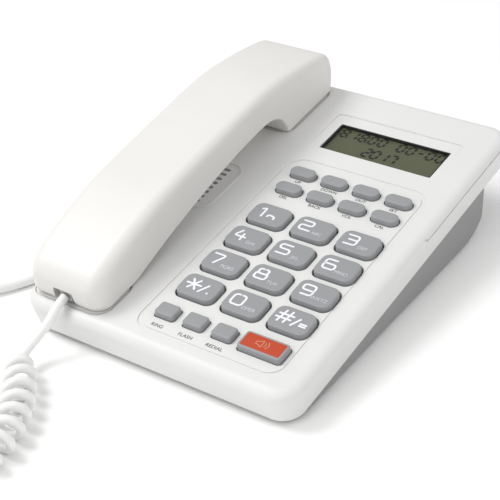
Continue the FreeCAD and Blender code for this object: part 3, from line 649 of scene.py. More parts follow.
@dataclass
class Keyboard:
    """All keys with their printed legends, with sizes in metres.

    The weights are how much bolder the letters are, as a share of their height.
    """

    panel: Panel
    paint: Paint
    flange: float = 1.0 * MM
    print_lift: float = 0.03 * MM
    digit_pen: float = 1.1 * MM
    icon_pen: float = 0.4 * MM
    letter_height: float = 2.2 * MM
    letter_place: Pair = (3.7 * MM, -3.2 * MM)
    letter_weight: float = 0.0
    label_height: float = 2.0 * MM
    label_weight: float = 0.015
    function_gap: float = 0.9 * MM
    mode_gap: float = 3.6 * MM

    def build(self) -> None:
        """Builds every key family."""
        for name in "1 2 3 4 5 6 7 8 9 star 0 hash".split():
            self._number_key(name)
        for family, shape, gap, labels in (
                ("function_key", FUNCTION_SHAPE, self.function_gap, FUNCTION_WORDS),
                ("mode_key", MODE_SHAPE, self.mode_gap, MODE_WORDS)):
            for i, words in enumerate(labels, start=1):
                self._cap(f"{family}_{i}", shape)
                self._panel_words(f"{family}_{i}", words, gap)
        self._talk_key()

    def _cap(self, node: str, shape: KeyShape) -> tuple[Matrix, float]:
        """One key's moulded cap.

        Args:
            node: the key's CAD node.
            shape: the moulded form.

        Returns:
            The key's place on the panel and the height of its face.
        """
        low, high = self.panel.box(node)
        margin = 2 * (self.flange + shape.clearance)
        top = high.z - shape.drop
        rings = cushioned(high.x - low.x - margin, high.y - low.y - margin, shape.corner,
                          low.z + self.flange, top - shape.crown, shape.edge, shape.crown,
                          shape.draft)
        place = self.panel.at((low.x + high.x) / 2, (low.y + high.y) / 2)
        piece = new_object(f"{node}_cap", placed(skin(f"{node}_cap", rings), place))
        self.paint.dress(piece, Slot.KEY)
        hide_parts(node)
        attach(piece, f"{node}_body")
        return place, top

    def _number_key(self, mark: str) -> None:
        """One dial key with its large stroked mark and its small letters.

        Args:
            mark: the mark's name in STROKE_MARKS.
        """
        node = f"key_{mark}"
        place, top = self._cap(node, NUMBER_SHAPE)
        strokes = stroked(f"{node}_mark", STROKE_MARKS[mark], self.digit_pen)
        strokes.transform(place @ Matrix.Translation((0, 0, top + self.print_lift)))
        self._printed(f"{node}_mark", strokes, f"{node}_body", "key legend")
        if mark in LETTERS:
            letters = Mark(LETTERS[mark], self.letter_height, *self.letter_place)
            self._print(f"{node}_letters", letters, place, top, f"{node}_body", "small legend",
                        self.letter_weight)

    def _print(self, name: str, mark: Mark, place: Matrix, level: float, body: str,
               finish: str, weight: float) -> None:
        """Prints words on a face.

        Args:
            name: the piece's name.
            mark: the words, with their size and place on the face.
            place: the face's own place.
            level: height of the face.
            body: the body that carries them.
            finish: the ink's name among the extra finishes.
            weight: how much bolder the letters are, as a share of their height.
        """
        mesh = lettering(name, mark.words, mark.height, weight)
        mesh.transform(place @ Matrix.Translation((mark.x, mark.y, level + self.print_lift)))
        self._printed(name, mesh, body, finish)

    def _printed(self, name: str, mesh: bpy.types.Mesh, body: str, finish: str) -> None:
        """Puts a printed mesh into the scene, on the body that carries it.

        Args:
            name: the piece's name.
            mesh: the print, already in its place.
            body: the body that carries it.
            finish: the ink's name among the extra finishes.
        """
        piece = new_object(name, mesh)
        self.paint.dress_extra(piece, finish)
        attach(piece, body)

    def _panel_words(self, node: str, words: str, gap: float) -> None:
        """Prints words on the panel, a gap below a key.

        Args:
            node: the key's CAD node.
            words: what is printed.
            gap: from the key's lower edge to the middle of the words.
        """
        low, high = self.panel.box(node)
        place = self.panel.at((low.x + high.x) / 2, low.y - gap, 0.0)
        self._print(f"{node}_label", Mark(words, self.label_height, 0, 0), place, 0.0, "base",
                    "panel print", self.label_weight)

    def _talk_key(self) -> None:
        """The speaker key: its cap, its orange face and the icon on it."""
        place, _ = self._cap("speaker_key", TALK_SHAPE)
        low, high = self.panel.box("speaker_key_lens")
        rings = cushioned(high.x - low.x, high.y - low.y, LENS_SHAPE.corner, low.z,
                          high.z - LENS_SHAPE.crown, LENS_SHAPE.edge, LENS_SHAPE.crown)
        piece = new_object("speaker_key_face", placed(skin("speaker_key_face", rings), place))
        self.paint.dress(piece, Slot.ORANGE)
        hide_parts("speaker_key_lens")
        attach(piece, "speaker_key_body")
        icon = bmesh.new()
        for stroke in SPEAKER_MARK:
            draw_stroke(icon, [(x * MM, y * MM) for x, y in stroke], self.icon_pen,
                        self.icon_pen)
        mesh = bpy.data.meshes.new("speaker_mark")
        icon.to_mesh(mesh)
        icon.free()
        mesh.transform(place @ Matrix.Translation((0, 0, high.z + self.print_lift)))
        self._printed("speaker_mark", mesh, "speaker_key_body", "speaker print")


def stroked(name: str, glyphs: Iterable[Glyph], weight: float) -> bpy.types.Mesh:
    """Marks drawn with a round pen, as a flat mesh.

    Args:
        name: the mesh's name.
        glyphs: the marks, in millimetres.
        weight: the pen's width in metres.
    Returns:
        The mesh, with each stroke a step above the one before.
    """
    mesh = bmesh.new()
    lines = [[((glyph.x + glyph.width * u) * MM, (glyph.y + glyph.height * v) * MM)
              for u, v in stroke] for glyph in glyphs for stroke in DIGIT_STROKES[glyph.name]]
    for index, line in enumerate(lines):
        draw_stroke(mesh, line, weight, level=STROKE_STEP * index)
    made = bpy.data.meshes.new(name)
    mesh.to_mesh(made)
    mesh.free()
    return made


def draw_stroke(mesh: bmesh.types.BMesh, line: Sequence[Pair],
                weight: float, corner: float = 1.7 * MM, level: float = 0.0) -> None:
    """Adds one pen stroke with softened corners and round ends to a mesh.

    Args:
        mesh: the mesh that grows.
        line: the stroke's corners, in metres.
        weight: the pen's width in metres.
        corner: how far each corner is softened.
        level: height of the stroke, so that crossing strokes don't share a plane.
    """
    soft = soften(line, corner)
    half = weight / 2
    sides: tuple[list, list] = ([], [])
    for i, point in enumerate(soft):
        before, after = soft[max(i - 1, 0)], soft[min(i + 1, len(soft) - 1)]
        along = (after - before).normalized()
        across = Vector((-along.y, along.x)) * half
        for store, sign in zip(sides, (1, -1)):
            spot = point + sign * across
            store.append(mesh.verts.new((spot.x, spot.y, level)))
    for i in range(len(soft) - 1):
        mesh.faces.new((sides[0][i], sides[1][i], sides[1][i + 1], sides[0][i + 1]))
    for end, inner in ((0, 1), (-1, -2)):
        away = (soft[end] - soft[inner]).normalized()
        start = math.atan2(away.y, away.x) - math.pi / 2
        turns = [start + math.pi * k / END_STEPS for k in range(END_STEPS + 1)]
        fan = [soft[end] + half * Vector((math.cos(turn), math.sin(turn))) for turn in turns]
        mesh.faces.new([mesh.verts.new((p.x, p.y, level)) for p in fan])


def soften(line: Sequence[Pair], corner: float) -> list[Vector]:
    """A polyline with each inner corner turned into a short curve.

    Args:
        line: the polyline's corners.
        corner: how far from a corner its curve begins, at most.

    Returns:
        The softened line's points.
    """
    points = [Vector(p) for p in line]
    made = [points[0]]
    for before, here, after in zip(points, points[1:], points[2:]):
        reach = min(corner, BEND_SHARE * (here - before).length,
                    BEND_SHARE * (after - here).length)
        entry = here + (before - here).normalized() * reach
        leave = here + (after - here).normalized() * reach
        for k in range(BEND_STEPS + 1):
            t = k / BEND_STEPS
            made.append(entry * (1 - t) ** 2 + here * 2 * t * (1 - t) + leave * t * t)
    made.append(points[-1])
    return made


def lettering(name: str, words: str, height: float, weight: float) -> bpy.types.Mesh:
    """Flat printed letters, centred on the origin, as a mesh.

    Args:
        name: the mesh's name.
        words: what is printed.
        height: the capital letters' height in metres.
        weight: how much bolder the letters are, as a share of their height.
    Returns:
        The letters' mesh.
    """
    curve = bpy.data.curves.new(name, "FONT")
    curve.body = words
    curve.size = height * SIZE_TO_CAPITALS
    curve.align_x = "CENTER"
    curve.align_y = "CENTER"
    curve.extrude = 0.0
    curve.offset = height * weight
    holder = bpy.data.objects.new(name, curve)
    bpy.context.scene.collection.objects.link(holder)
    bpy.context.view_layer.update()
    mesh = bpy.data.meshes.new_from_object(
        holder.evaluated_get(bpy.context.evaluated_depsgraph_get()))
    mesh.name = name
    bpy.data.objects.remove(holder)
    return mesh


# ---------------------------------------------------------------- display

@dataclass(frozen=True)
class DigitRow:
    """A row of digits: words, digit height, length and place from the glass's middle."""

    name: str
    words: str
    height: float
    length: float
    x: float
    y: float


@dataclass
class Display:
    """The display's digits, between its panel and its window.

    The segments' measures are shares of a digit's height.
    """

    panel: Panel
    paint: Paint
    rows: tuple[DigitRow, ...] = (
        DigitRow("display_row_top", "8.18.00 00-00", 6.6 * MM, 62.0 * MM, 0.5 * MM, 7.2 * MM),
        DigitRow("display_row_low", "2017", 6.8 * MM, 20.0 * MM, -1.0 * MM, -3.6 * MM))
    lift: float = 0.02 * MM
    half_width: float = 0.26
    thickness: float = 0.11
    filled: float = 0.9
    lean: float = 0.12
    dot: float = 0.07
    dot_back: float = 0.06

    SEGMENTS: ClassVar[dict[str, str]] = {
        "0": "abcdef", "1": "bc", "2": "abged", "3": "abgcd", "4": "fgbc", "5": "afgcd",
        "6": "afgedc", "7": "abc", "8": "abcdefg", "9": "abcdfg", "-": "g", " ": ""}
    DOTS: ClassVar[str] = ".:"

    def build(self) -> None:
        """Builds each row of digits."""
        low, high = self.panel.box("display_panel")
        middle = (low + high) / 2
        for row in self.rows:
            place = self.panel.at(middle.x + row.x, middle.y + row.y, high.z + self.lift)
            self._row(row, place)

    def _row(self, row: DigitRow, place: Matrix) -> None:
        """Builds one row of digits.

        Args:
            row: what the row says and how large it is.
            place: the place of the row's middle.
        """
        pitch = row.length / len([c for c in row.words if c not in self.DOTS])
        mesh = bmesh.new()
        column = 0
        for letter in row.words:
            if letter in self.DOTS:
                x = -row.length / 2 + column * pitch - self.dot_back * pitch
                self._dots(mesh, letter, x, row.height)
                continue
            x = -row.length / 2 + (column + 0.5) * pitch
            for part in self.SEGMENTS[letter]:
                self._bar(mesh, part, x, row.height)
            column += 1
        made = bpy.data.meshes.new(row.name)
        mesh.to_mesh(made)
        mesh.free()
        made.transform(place)
        piece = new_object(row.name, made)
        self.paint.dress_extra(piece, "display digit")
        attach(piece, "base")

    def _bar(self, mesh: bmesh.types.BMesh, part: str, x: float, height: float) -> None:
        """Adds one segment of a digit.

        Args:
            mesh: the mesh that grows.
            part: the segment's letter, a to g.
            x: the digit's middle.
            height: the digit's height.
        """
        half_h, half_w, thick = height / 2, height * self.half_width, height * self.thickness
        spots = {"a": (0, half_h, 0), "g": (0, 0, 0), "d": (0, -half_h, 0),
                 "f": (-half_w, half_h / 2, 1), "b": (half_w, half_h / 2, 1),
                 "e": (-half_w, -half_h / 2, 1), "c": (half_w, -half_h / 2, 1)}
        cx, cy, upright = spots[part]
        long = (half_h / 2 if upright else half_w) * self.filled
        outline = [(-long, 0), (-long + thick, -thick), (long - thick, -thick), (long, 0),
                   (long - thick, thick), (-long + thick, thick)]
        if upright:
            outline = [(-b, a) for a, b in outline]
        corners = []
        for a, b in outline:
            lean = (cy + b) * self.lean
            corners.append(mesh.verts.new((x + cx + a + lean, cy + b, 0)))
        mesh.faces.new(corners)

    def _dots(self, mesh: bmesh.types.BMesh, kind: str, x: float, height: float) -> None:
        """Adds a point or a colon.

        Args:
            mesh: the mesh that grows.
            kind: "." or ":".
            x: the dots' middle.
            height: the digits' height.
        """
        size = height * self.dot
        for y in ((-height / 2,) if kind == "." else (-height / 5, height / 5)):
            corners = [mesh.verts.new((x + sx * size, y + sy * size, 0))
                       for sx, sy in ((-1, -1), (1, -1), (1, 1), (-1, 1))]
            mesh.faces.new(corners)


# ---------------------------------------------------------------- handset

@dataclass(frozen=True)
class HandsetSizes:
    """The handset's form in the panel's axes, in millimetres.

    Each crown row is one station of the outline, nose to rear: the outline's point, the point
    where the flat side wall begins beside it, and how far the rounding reaches across.
    Inlay_start is the share of the crown's flat width at which its two middle rings run. The
    steps are counts, and the crisp angle is in degrees.
    """

    width: float = 44.0
    foot: float = 0.9
    inlay_half: float = 19.75
    inlay_depth: float = 0.5
    inlay_start: float = 0.95
    inlay_ends: Pair = (-98.6, 99.2)
    crown: tuple[tuple[float, ...], ...] = (
        (-102.4, 0.4, -95.6, 1.3, 8.0), (-104.2, 3.6, -96.2, 2.6, 8.0),
        (-104.4, 8.4, -96.2, 5.0, 8.0), (-103.4, 13.2, -95.2, 8.4, 7.8),
        (-99.6, 17.7, -92.4, 12.0, 7.4), (-92.0, 21.0, -87.6, 14.6, 6.8),
        (-78.0, 25.1, -76.2, 18.9, 6.2), (-62.0, 28.7, -61.2, 22.8, 5.8),
        (-46.0, 31.2, -45.7, 25.5, 5.5), (-20.0, 33.1, -20.0, 27.6, 5.3),
        (5.0, 34.4, 5.0, 29.2, 5.1), (25.0, 35.3, 25.0, 30.2, 4.9),
        (40.0, 35.5, 40.0, 30.5, 4.7), (52.0, 34.6, 51.5, 29.7, 4.6),
        (65.0, 32.7, 64.2, 27.9, 4.5), (77.0, 30.5, 76.0, 25.8, 4.4),
        (90.0, 27.6, 88.9, 23.0, 4.3), (98.4, 25.2, 96.8, 20.8, 4.2),
        (102.6, 22.9, 99.8, 18.9, 4.1), (104.8, 18.8, 101.2, 16.2, 3.9),
        (105.3, 13.4, 101.8, 12.6, 3.6), (104.2, 7.0, 101.2, 6.8, 3.2),
        (101.8, 0.9, 99.4, 1.9, 2.6))
    grip: tuple[Pair, ...] = (
        (57.5, 1.0), (56.9, 3.4), (55.6, 6.8), (51.5, 12.3), (44.0, 16.2), (34.0, 17.3),
        (10.0, 16.1), (-15.0, 13.2), (-45.0, 8.3), (-66.0, 3.7), (-78.0, 1.0))
    plug_x: float = 1.2
    mouth: tuple[Pair, ...] = ((-6.6, 0.0), (6.9, 0.0), (4.9, 8.6), (-6.2, 8.6))
    mouth_reach: Pair = (-112.0, -98.6)
    crown_steps: int = 6
    grip_steps: int = 5
    rear_steps: int = 14
    front_steps: int = 7
    round_steps: int = 12
    crisp_angle: float = 40.0


@dataclass
class Handset:
    """The handset's moulded shell, its cord plug and what shows in its openings."""

    panel: Panel
    paint: Paint
    sizes: HandsetSizes = HandsetSizes()

    BODY: ClassVar[str] = "handset"

    def build(self) -> None:
        """Builds the shell and the plug."""
        self._shell()
        self._plug()

    def _stations(self) -> list[tuple[float, ...]]:
        """The outline all round.

        Returns:
            (y, z, wall y, wall z, across) at each point, in millimetres.
        """
        sizes = self.sizes
        stations = cubic_through(sizes.crown, sizes.crown_steps)
        rear, front = sizes.crown[-1], sizes.crown[0]
        heel, toe = sizes.grip[0], sizes.grip[-1]
        stations += self._flat(rear, (*heel, heel[0], heel[1] + sizes.foot, sizes.foot),
                               sizes.rear_steps)
        grip = cubic_through(sizes.grip, sizes.grip_steps)
        for before, here, after in zip(grip, grip[1:], grip[2:]):
            along = Vector((after[0] - before[0], after[1] - before[1])).normalized()
            stations.append((*here, here[0] + along.y * sizes.foot,
                             here[1] - along.x * sizes.foot, sizes.foot))
        stations += self._flat((*toe, toe[0], toe[1] + sizes.foot, sizes.foot), front,
                               sizes.front_steps)
        return stations

    @staticmethod
    def _flat(start: Sequence[float], end: Sequence[float],
              steps: int) -> list[tuple[float, ...]]:
        """The stations strictly between two, evenly spaced.

        Args:
            start: the station before them.
            end: the station after them.
            steps: how many gaps there are.

        Returns:
            The stations.
        """
        return [tuple(a + (b - a) * i / steps for a, b in zip(start, end))
                for i in range(1, steps)]

    def _shell(self) -> None:
        """The white shell, whole, with its underside sunk and its mouth open."""
        stations = self._stations()
        low, high = self.panel.box("handset_upper_shell")
        half, steps = self.sizes.width / 2, self.sizes.round_steps
        angles = [math.radians(90 * k / steps) for k in range(steps + 1)]
        rings = []
        for side, turns in ((-1, angles), (1, angles[::-1])):
            for angle in turns:
                far, deep = 1 - math.cos(angle), 1 - math.sin(angle)
                rings.append([Vector((side * (half - across * far), y + (wall_y - y) * deep,
                                      z + (wall_z - z) * deep)) * MM
                              for y, z, wall_y, wall_z, across in stations])
        middle = len(rings) // 2
        rings[middle:middle] = self._inlay(stations)
        crisp = self.sizes.crisp_angle
        piece = new_object("handset_shell", skin("handset_shell", rings, angle=crisp))
        self._cut_mouth(piece)
        piece.data.transform(self.panel.at((low.x + high.x) / 2))
        smooth(piece.data, crisp)
        self.paint.dress(piece, Slot.HANDSET)
        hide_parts("handset_upper_shell")
        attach(piece, self.BODY)

    def _inlay(self, stations: Sequence[Sequence[float]]) -> Rings:
        """Rings that sink the underside, where the lower shell lies in the upper one.

        Args:
            stations: the outline all round.

        Returns:
            The rings, from the left side to the right one.
        """
        sizes = self.sizes
        crown_count = sizes.crown_steps * (len(sizes.crown) - 1) + 1
        near, far = sizes.inlay_ends
        rings = []
        for side, depth in ((-1, 0.0), (-1, sizes.inlay_depth), (1, sizes.inlay_depth),
                            (1, 0.0)):
            ring = []
            for i, (y, z, wall_y, wall_z, across) in enumerate(stations):
                x, lift = sizes.inlay_start * (sizes.width / 2 - across), Vector((0, 0, 0))
                if i >= crown_count:
                    x = sizes.inlay_half
                    inward = Vector((0, wall_y - y, wall_z - z)).normalized()
                    lift = inward * depth * (near < y < far)
                ring.append((Vector((side * x, y, z)) + lift) * MM)
            rings.append(ring)
        return rings

    def _cut_mouth(self, piece: bpy.types.Object) -> None:
        """Opens the front of the shell for the cord plug, wider at its foot.

        Args:
            piece: the shell, which is cut in place.
        """
        corners = [(self.sizes.plug_x + x, z) for x, z in self.sizes.mouth]
        rings = [[Vector((cx, y, cz)) * MM for cx, cz in corners]
                 for y in self.sizes.mouth_reach]
        cutter = new_object("mouth_cutter", skin("mouth_cutter", rings))
        modifier = piece.modifiers.new("mouth", "BOOLEAN")
        modifier.object = cutter
        modifier.operation = "DIFFERENCE"
        modifier.solver = "EXACT"
        bpy.context.view_layer.update()
        done = bpy.data.meshes.new_from_object(
            piece.evaluated_get(bpy.context.evaluated_depsgraph_get()))
        piece.modifiers.clear()
        piece.data = done
        bpy.data.objects.remove(cutter)

    def _plug(self) -> None:
        """The clear cord plug: body, latch and contact blades."""
        low, high = self.panel.box("handset_plug")
        middle = (low + high) / 2
        body = plug_body("handset_plug_body", high - low)
        body.transform(self.panel.at(*middle))
        piece = new_object("handset_plug_body", body)
        self.paint.dress(piece, Slot.PLUG)
        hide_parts("handset_plug")
        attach(piece, self.BODY)
        blades = blade_row("handset_plug_blades", high - low)
        blades.transform(self.panel.at(*middle))
        row = new_object("handset_plug_blades", blades)
        self.paint.dress_extra(row, "gold contact")
        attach(row, self.BODY)


@dataclass(frozen=True)
class PlugSizes:
    """A modular plug's rims, latch and blades.

    Corner_share is a share of a rim's edge. Latch_width, latch_length, latch_back,
    blade_length and blade_forward are shares of the block's size. Corner_steps and blades are
    counts, and the rest is in metres.
    """

    edge: float = 0.25 * MM
    corner_share: float = 1.5
    corner_steps: int = 3
    latch_width: float = 0.42
    latch_length: float = 0.8
    latch_back: float = 0.06
    latch_thickness: float = 0.8 * MM
    latch_rise: float = 0.55 * MM
    latch_edge: float = 0.2 * MM
    blades: int = 4
    blade_pitch: float = 1.27 * MM
    blade_width: float = 0.45 * MM
    blade_height: float = 1.6 * MM
    blade_edge: float = 0.08 * MM
    blade_length: float = 0.36
    blade_forward: float = 0.22


PLUG = PlugSizes()


def slab(width: float, depth: float, height: float, middle: Vector, edge: float) -> Rings:
    """Rings of a small block with rounded rims.

    Args:
        width: size along X.
        depth: size along Y.
        height: size along Z.
        middle: the block's middle.
        edge: how far the rims are cut back.

    Returns:
        The rings, from the foot up.
    """
    rings = []
    for level, inset in ((-height / 2, edge), (-height / 2 + edge, 0.0),
                         (height / 2 - edge, 0.0), (height / 2, edge)):
        ring = rounded_loop(width - 2 * inset, depth - 2 * inset, edge * PLUG.corner_share,
                            PLUG.corner_steps)
        rings.append([p + middle + Vector((0, 0, level)) for p in ring])
    return rings


def joined(name: str, stacks: Iterable[Rings]) -> bpy.types.Mesh:
    """Several closed skins in one mesh.

    Args:
        name: the mesh's name.
        stacks: the rings of each skin.

    Returns:
        The mesh.
    """
    whole = bmesh.new()
    for rings in stacks:
        part = skin(name, rings)
        whole.from_mesh(part)
        bpy.data.meshes.remove(part)
    mesh = bpy.data.meshes.new(name)
    whole.to_mesh(mesh)
    whole.free()
    smooth(mesh)
    return mesh


def plug_body(name: str, size: Vector) -> bpy.types.Mesh:
    """A modular plug about the origin: its block and the latch that leans over it.

    Args:
        name: the mesh's name.
        size: the block's size.

    Returns:
        The plug's mesh.
    """
    block = slab(size.x, size.y, size.z, Vector((0, 0, 0)), PLUG.edge)
    middle = Vector((0, -size.y * PLUG.latch_back, size.z / 2 + PLUG.latch_rise))
    latch = slab(size.x * PLUG.latch_width, size.y * PLUG.latch_length, PLUG.latch_thickness,
                 middle, PLUG.latch_edge)
    return joined(name, (block, latch))


def blade_row(name: str, size: Vector) -> bpy.types.Mesh:
    """Contact blades side by side near the plug's far end.

    Args:
        name: the mesh's name.
        size: the size of the plug's block.

    Returns:
        The blades' mesh.
    """
    stacks = []
    for i in range(PLUG.blades):
        x = (i - (PLUG.blades - 1) / 2) * PLUG.blade_pitch
        middle = Vector((x, size.y * PLUG.blade_forward, size.z * PLUG.blade_forward))
        stacks.append(slab(PLUG.blade_width, size.y * PLUG.blade_length, PLUG.blade_height,
                           middle, PLUG.blade_edge))
    return joined(name, stacks)


# ---------------------------------------------------------------- handset cord

LEAD_ROUTE = (
    (-50.0, -104.7, 25.0), (-49.6, -111.0, 23.4), (-49.8, -117.2, 18.2),
    (-52.2, -123.4, 12.6), (-53.4, -130.6, 9.2), (-49.6, -138.4, 8.3))
COIL_ROUTE = (
    (-49.6, -138.4, 8.3), (-39.6, -149.8, 8.3), (-29.8, -163.0, 8.3),
    (-22.4, -177.8, 8.3), (-20.4, -194.2, 8.3), (-25.6, -209.8, 8.3),
    (-36.6, -222.2, 8.3), (-51.6, -229.6, 8.3), (-68.2, -231.2, 8.3),
    (-84.4, -227.4, 8.3), (-98.4, -218.6, 8.3), (-109.4, -206.2, 8.3),
    (-117.0, -191.4, 8.3), (-121.2, -175.4, 8.3), (-122.6, -158.8, 8.3),
    (-122.2, -142.4, 8.3), (-120.6, -126.4, 8.3))
TAIL_ROUTE = (
    (-120.6, -126.4, 8.3), (-117.8, -113.0, 6.6), (-111.4, -101.4, 4.0),
    (-103.4, -90.8, 2.8), (-97.2, -78.4, 2.6), (-93.6, -64.4, 2.6), (-92.4, -49.4, 2.6),
    (-92.6, -34.6, 2.6), (-92.2, -20.8, 3.2), (-88.8, -9.4, 5.6), (-82.4, -2.0, 8.4),
    (-74.3, 0.0, 9.5))


@dataclass(frozen=True)
class CordSizes:
    """The curly cord, in metres.

    Joint_at is how far along the coil the length that starts at the handset ends, and early how
    far the coil begins before its route does. The first turn and the crisp angle are in
    degrees, and sides, turn_points and route_steps are counts.
    """

    wire: float = 4.4 * MM
    coil: float = 16.4 * MM
    open_pitch: float = 8.6 * MM
    shut_pitch: float = 5.2 * MM
    open_until: float = 62.0 * MM
    ramp: float = 14.0 * MM
    sides: int = 14
    turn_points: int = 26
    joint_at: float = 58.0 * MM
    early: float = 8.0 * MM
    first_turn: float = -60.0
    pitch_change: float = 0.03
    straight_step: float = 0.0011
    probe: float = 0.0004
    route_steps: int = 24
    crisp_angle: float = 60.0


@dataclass
class Cord:
    """The handset cord: a straight lead, the coiled part and a tail to the base."""

    paint: Paint
    sizes: CordSizes = CordSizes()

    UP: ClassVar[Point] = (0.0, 0.0, 1.0)

    def build(self) -> None:
        """Builds the cord in two lengths: one that reaches from the handset, one at rest."""
        route = self._spline()
        steps = np.linalg.norm(np.diff(route, axis=0), axis=1)
        along = np.concatenate(([0.0], np.cumsum(steps)))
        start = self._nearest(route, along, LEAD_ROUTE[-1]) - self.sizes.early
        stop = self._nearest(route, along, TAIL_ROUTE[0])
        path = self._helix(route, along, start, stop)
        cut = start + self.sizes.joint_at
        index = next(i for i, (s, _) in enumerate(path) if s >= cut)
        points = np.array([p for _, p in path])
        first = self._tube("cord_from_handset", points, 0, index)
        second = self._tube("cord_to_base", points, index, len(points) - 1)
        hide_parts("cord_lead")
        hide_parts("cord_coil", "cord_tail")
        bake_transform(first)
        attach(second, "base")

    def _spline(self) -> np.ndarray:
        """The cord's whole route as a smooth curve.

        Returns:
            The curve's points, one row each, in metres.
        """
        curve = bpy.data.curves.new("cord_route", "CURVE")
        curve.dimensions = "3D"
        curve.resolution_u = self.sizes.route_steps
        spline = curve.splines.new("NURBS")
        points = [*LEAD_ROUTE, *COIL_ROUTE[1:], *TAIL_ROUTE[1:]]
        spline.points.add(len(points) - 1)
        for spot, point in zip(spline.points, points):
            spot.co = (*(c * MM for c in point), 1.0)
        spline.order_u = 3
        spline.use_endpoint_u = True
        holder = bpy.data.objects.new("cord_route", curve)
        bpy.context.scene.collection.objects.link(holder)
        bpy.context.view_layer.update()
        mesh = bpy.data.meshes.new_from_object(
            holder.evaluated_get(bpy.context.evaluated_depsgraph_get()))
        line = np.array([v.co for v in mesh.vertices], float)
        bpy.data.objects.remove(holder)
        bpy.data.meshes.remove(mesh)
        return line

    @staticmethod
    def _nearest(route: np.ndarray, along: np.ndarray, point: Point) -> float:
        """How far along the route its nearest point to a given one lies.

        Args:
            route: the route's points.
            along: the distance along the route at each of them.
            point: the given point, in millimetres.

        Returns:
            The distance in metres.
        """
        gaps = np.linalg.norm(route - np.array(point) * MM, axis=1)
        return float(along[int(gaps.argmin())])

    def _helix(self, route: np.ndarray, along: np.ndarray, start: float,
               stop: float) -> list[tuple[float, np.ndarray]]:
        """The wire's own centreline: the route, wound into a helix between start and stop.

        Args:
            route: the route's points.
            along: the distance along the route at each of them.
            start: where the coil begins.
            stop: where the coil ends.

        Returns:
            (distance along the route, point) pairs.
        """
        radius = (self.sizes.coil - self.sizes.wire) / 2
        total = float(along[-1])
        s, phase, made = 0.0, math.radians(self.sizes.first_turn), []
        side = np.array(self.UP)
        while s < total:
            here = self._at(route, along, s)
            ahead = self._at(route, along, min(total, s + self.sizes.probe))
            behind = self._at(route, along, max(0.0, s - self.sizes.probe))
            tangent = ahead - behind
            tangent /= np.linalg.norm(tangent)
            side = side - tangent * side.dot(tangent)
            side /= np.linalg.norm(side)
            other = np.cross(tangent, side)
            grow = min(self._ease((s - start) / self.sizes.ramp),
                       self._ease((stop - s) / self.sizes.ramp))
            made.append((s, here + radius * grow * (math.cos(phase) * side
                                                    + math.sin(phase) * other)))
            pitch = self._pitch(s - start)
            if grow > 0.0:
                s += pitch / self.sizes.turn_points
                phase += 2 * math.pi / self.sizes.turn_points
            else:
                s += self.sizes.straight_step
        made.append((total, route[-1]))
        return made

    def _pitch(self, run: float) -> float:
        """The gap from turn to turn, a run of metres after the coil begins."""
        mix = self._ease((run - self.sizes.open_until) / self.sizes.pitch_change)
        return self.sizes.open_pitch + mix * (self.sizes.shut_pitch - self.sizes.open_pitch)

    @staticmethod
    def _ease(t: float) -> float:
        """A soft step from 0 to 1 as t goes from 0 to 1."""
        t = max(0.0, min(1.0, t))
        return t * t * (3 - 2 * t)

    @staticmethod
    def _at(route: np.ndarray, along: np.ndarray, s: float) -> np.ndarray:
        """The route's point at a distance s along it."""
        return np.array([np.interp(s, along, route[:, k]) for k in range(3)])

    def _tube(self, name: str, points: np.ndarray, first: int, last: int) -> bpy.types.Object:
        """A round tube along points first to last, with closed ends.

        Args:
            name: the piece's name.
            points: the whole wire's centreline.
            first: the number of the point where the tube begins.
            last: the number of the point where it ends.

        Returns:
            The tube, dressed as cord.
        """
        radius, sides = self.sizes.wire / 2, self.sizes.sides
        turn = [2 * math.pi * k / sides for k in range(sides)]
        side = np.array(self.UP)
        rings = []
        for i in range(len(points)):
            tangent = points[min(i + 1, len(points) - 1)] - points[max(i - 1, 0)]
            tangent /= np.linalg.norm(tangent)
            side = side - tangent * side.dot(tangent)
            side /= np.linalg.norm(side)
            other = np.cross(tangent, side)
            if not first <= i <= last:
                continue
            rings.append([Vector(points[i] + radius * (math.cos(a) * side
                                                       + math.sin(a) * other)) for a in turn])
        piece = new_object(name, skin(name, rings, angle=self.sizes.crisp_angle))
        return self.paint.dress(piece, Slot.CORD)


# ---------------------------------------------------------------- carried-over CAD pieces

@dataclass
class Carried:
    """The CAD pieces that are shown as they are, each in its slot's finish."""

    frame: dict
    paint: Paint
    crisp_angle: float = 35.0

    def build(self) -> None:
        """Paints every CAD piece that nothing replaces."""
        slots = {entry.slot: entry for entry in Slot}
        parts = {p["node"]: p["material_slot"] for p in self.frame["record"]["subparts"]}
        for node, piece in self.frame["nodes"].items():
            if piece.hide_render:
                continue
            self.paint.dress(piece, slots[parts[node]])
            smooth(piece.data, self.crisp_angle)


# ---------------------------------------------------------------- studio

@dataclass(frozen=True)
class View:
    """The camera: its place and near limit in metres, turn in degrees, lens and sensor in
    millimetres, and shift as a share of the picture's width.
    """

    place: Point = (0.3014, -0.4529, 0.3598)
    turn: Point = (56.977, 1.648, 33.582)
    lens: float = 92.05
    sensor: float = 36.0
    shift: Pair = (-0.02154, 0.01132)
    near: float = 0.01


@dataclass(frozen=True)
class Lamp:
    """One soft box: its place, size and aim in metres, and its power in watts."""

    name: str
    place: Point
    size: float
    power: float
    aim: Point = (0.0, 0.0, 0.02)


LAMPS = (Lamp("key_light", (-0.7, -0.3, 1.1), 0.6, 9.5),
         Lamp("front_light", (-0.1, -1.2, 0.8), 0.9, 5.5),
         Lamp("fill_light", (1.1, 0.3, 0.8), 1.4, 5.5))


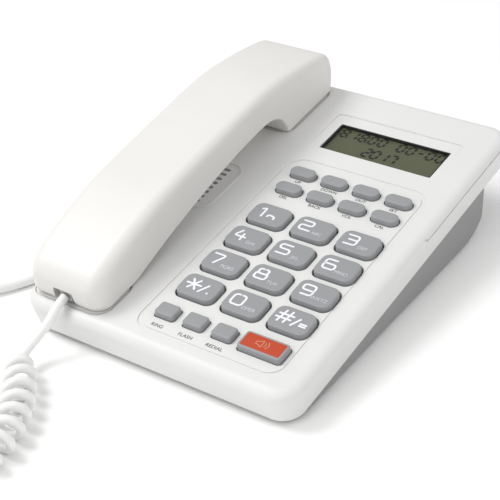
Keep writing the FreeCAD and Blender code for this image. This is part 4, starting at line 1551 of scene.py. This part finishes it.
@dataclass
class Studio:
    """Floor, lights and camera."""

    paint: Paint
    lamps: tuple[Lamp, ...] = LAMPS
    view: View = View()
    floor_reach: float = 6.0
    sky_strength: float = 0.54

    def build(self) -> None:
        """Sets the whole studio."""
        self._floor()
        for lamp in self.lamps:
            self._lamp(lamp)
        self._world()
        self._camera()

    def _floor(self) -> None:
        """The wide floor that the telephone stands on."""
        reach = self.floor_reach
        corners = [(-reach, -reach, 0), (reach, -reach, 0), (reach, reach, 0), (-reach, reach, 0)]
        mesh = bpy.data.meshes.new("studio_floor")
        mesh.from_pydata(corners, [], [(0, 1, 2, 3)])
        floor = new_object("studio_floor", mesh)
        self.paint.dress_extra(floor, "studio floor")
        floor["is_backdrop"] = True

    @staticmethod
    def _lamp(lamp: Lamp) -> None:
        """Hangs one soft box, turned to its aim.

        Args:
            lamp: its place, size and power.
        """
        light = bpy.data.lights.new(lamp.name, "AREA")
        light.energy = lamp.power
        light.size = lamp.size
        holder = bpy.data.objects.new(lamp.name, light)
        holder.location = lamp.place
        aim = Vector(lamp.aim) - Vector(lamp.place)
        holder.rotation_euler = aim.to_track_quat("-Z", "Y").to_euler()
        bpy.context.scene.collection.objects.link(holder)

    def _world(self) -> None:
        """The even white light from all round."""
        world = bpy.data.worlds.new("studio")
        world.use_nodes = True
        sky = world.node_tree.nodes["Background"]
        sky.inputs["Color"].default_value = (1.0, 1.0, 1.0, 1.0)
        sky.inputs["Strength"].default_value = self.sky_strength
        bpy.context.scene.world = world

    def _camera(self) -> None:
        """The scene's camera, with plain colours."""
        camera = bpy.data.cameras.new("camera")
        camera.lens = self.view.lens
        camera.sensor_width = self.view.sensor
        camera.shift_x, camera.shift_y = self.view.shift
        camera.clip_start = self.view.near
        holder = bpy.data.objects.new("camera", camera)
        holder.location = self.view.place
        holder.rotation_euler = tuple(math.radians(a) for a in self.view.turn)
        bpy.context.scene.collection.objects.link(holder)
        bpy.context.scene.camera = holder
        bpy.context.scene.view_settings.view_transform = "Standard"


# ---------------------------------------------------------------- assembly

class Telephone:
    """Builds every sub-assembly in order."""

    def __init__(self) -> None:
        """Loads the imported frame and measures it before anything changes."""
        self.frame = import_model()
        self.cad_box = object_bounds()
        self.paint = Paint()
        self.panel = Panel(self.frame)

    def build(self) -> None:
        stages = (Studio(self.paint), Keyboard(self.panel, self.paint),
                  Display(self.panel, self.paint), Handset(self.panel, self.paint),
                  Cord(self.paint), Carried(self.frame, self.paint))
        for stage in stages:
            stage.build()
            LOG.info("%s built", type(stage).__name__.lower())
        bpy.context.view_layer.update()
        self._write_sizes()

    def _write_sizes(self) -> None:
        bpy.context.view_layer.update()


def main() -> None:
    """Builds the scene from start to end."""
    Telephone().build()
    LOG.info("built")


if __name__ == "__main__":
    main()
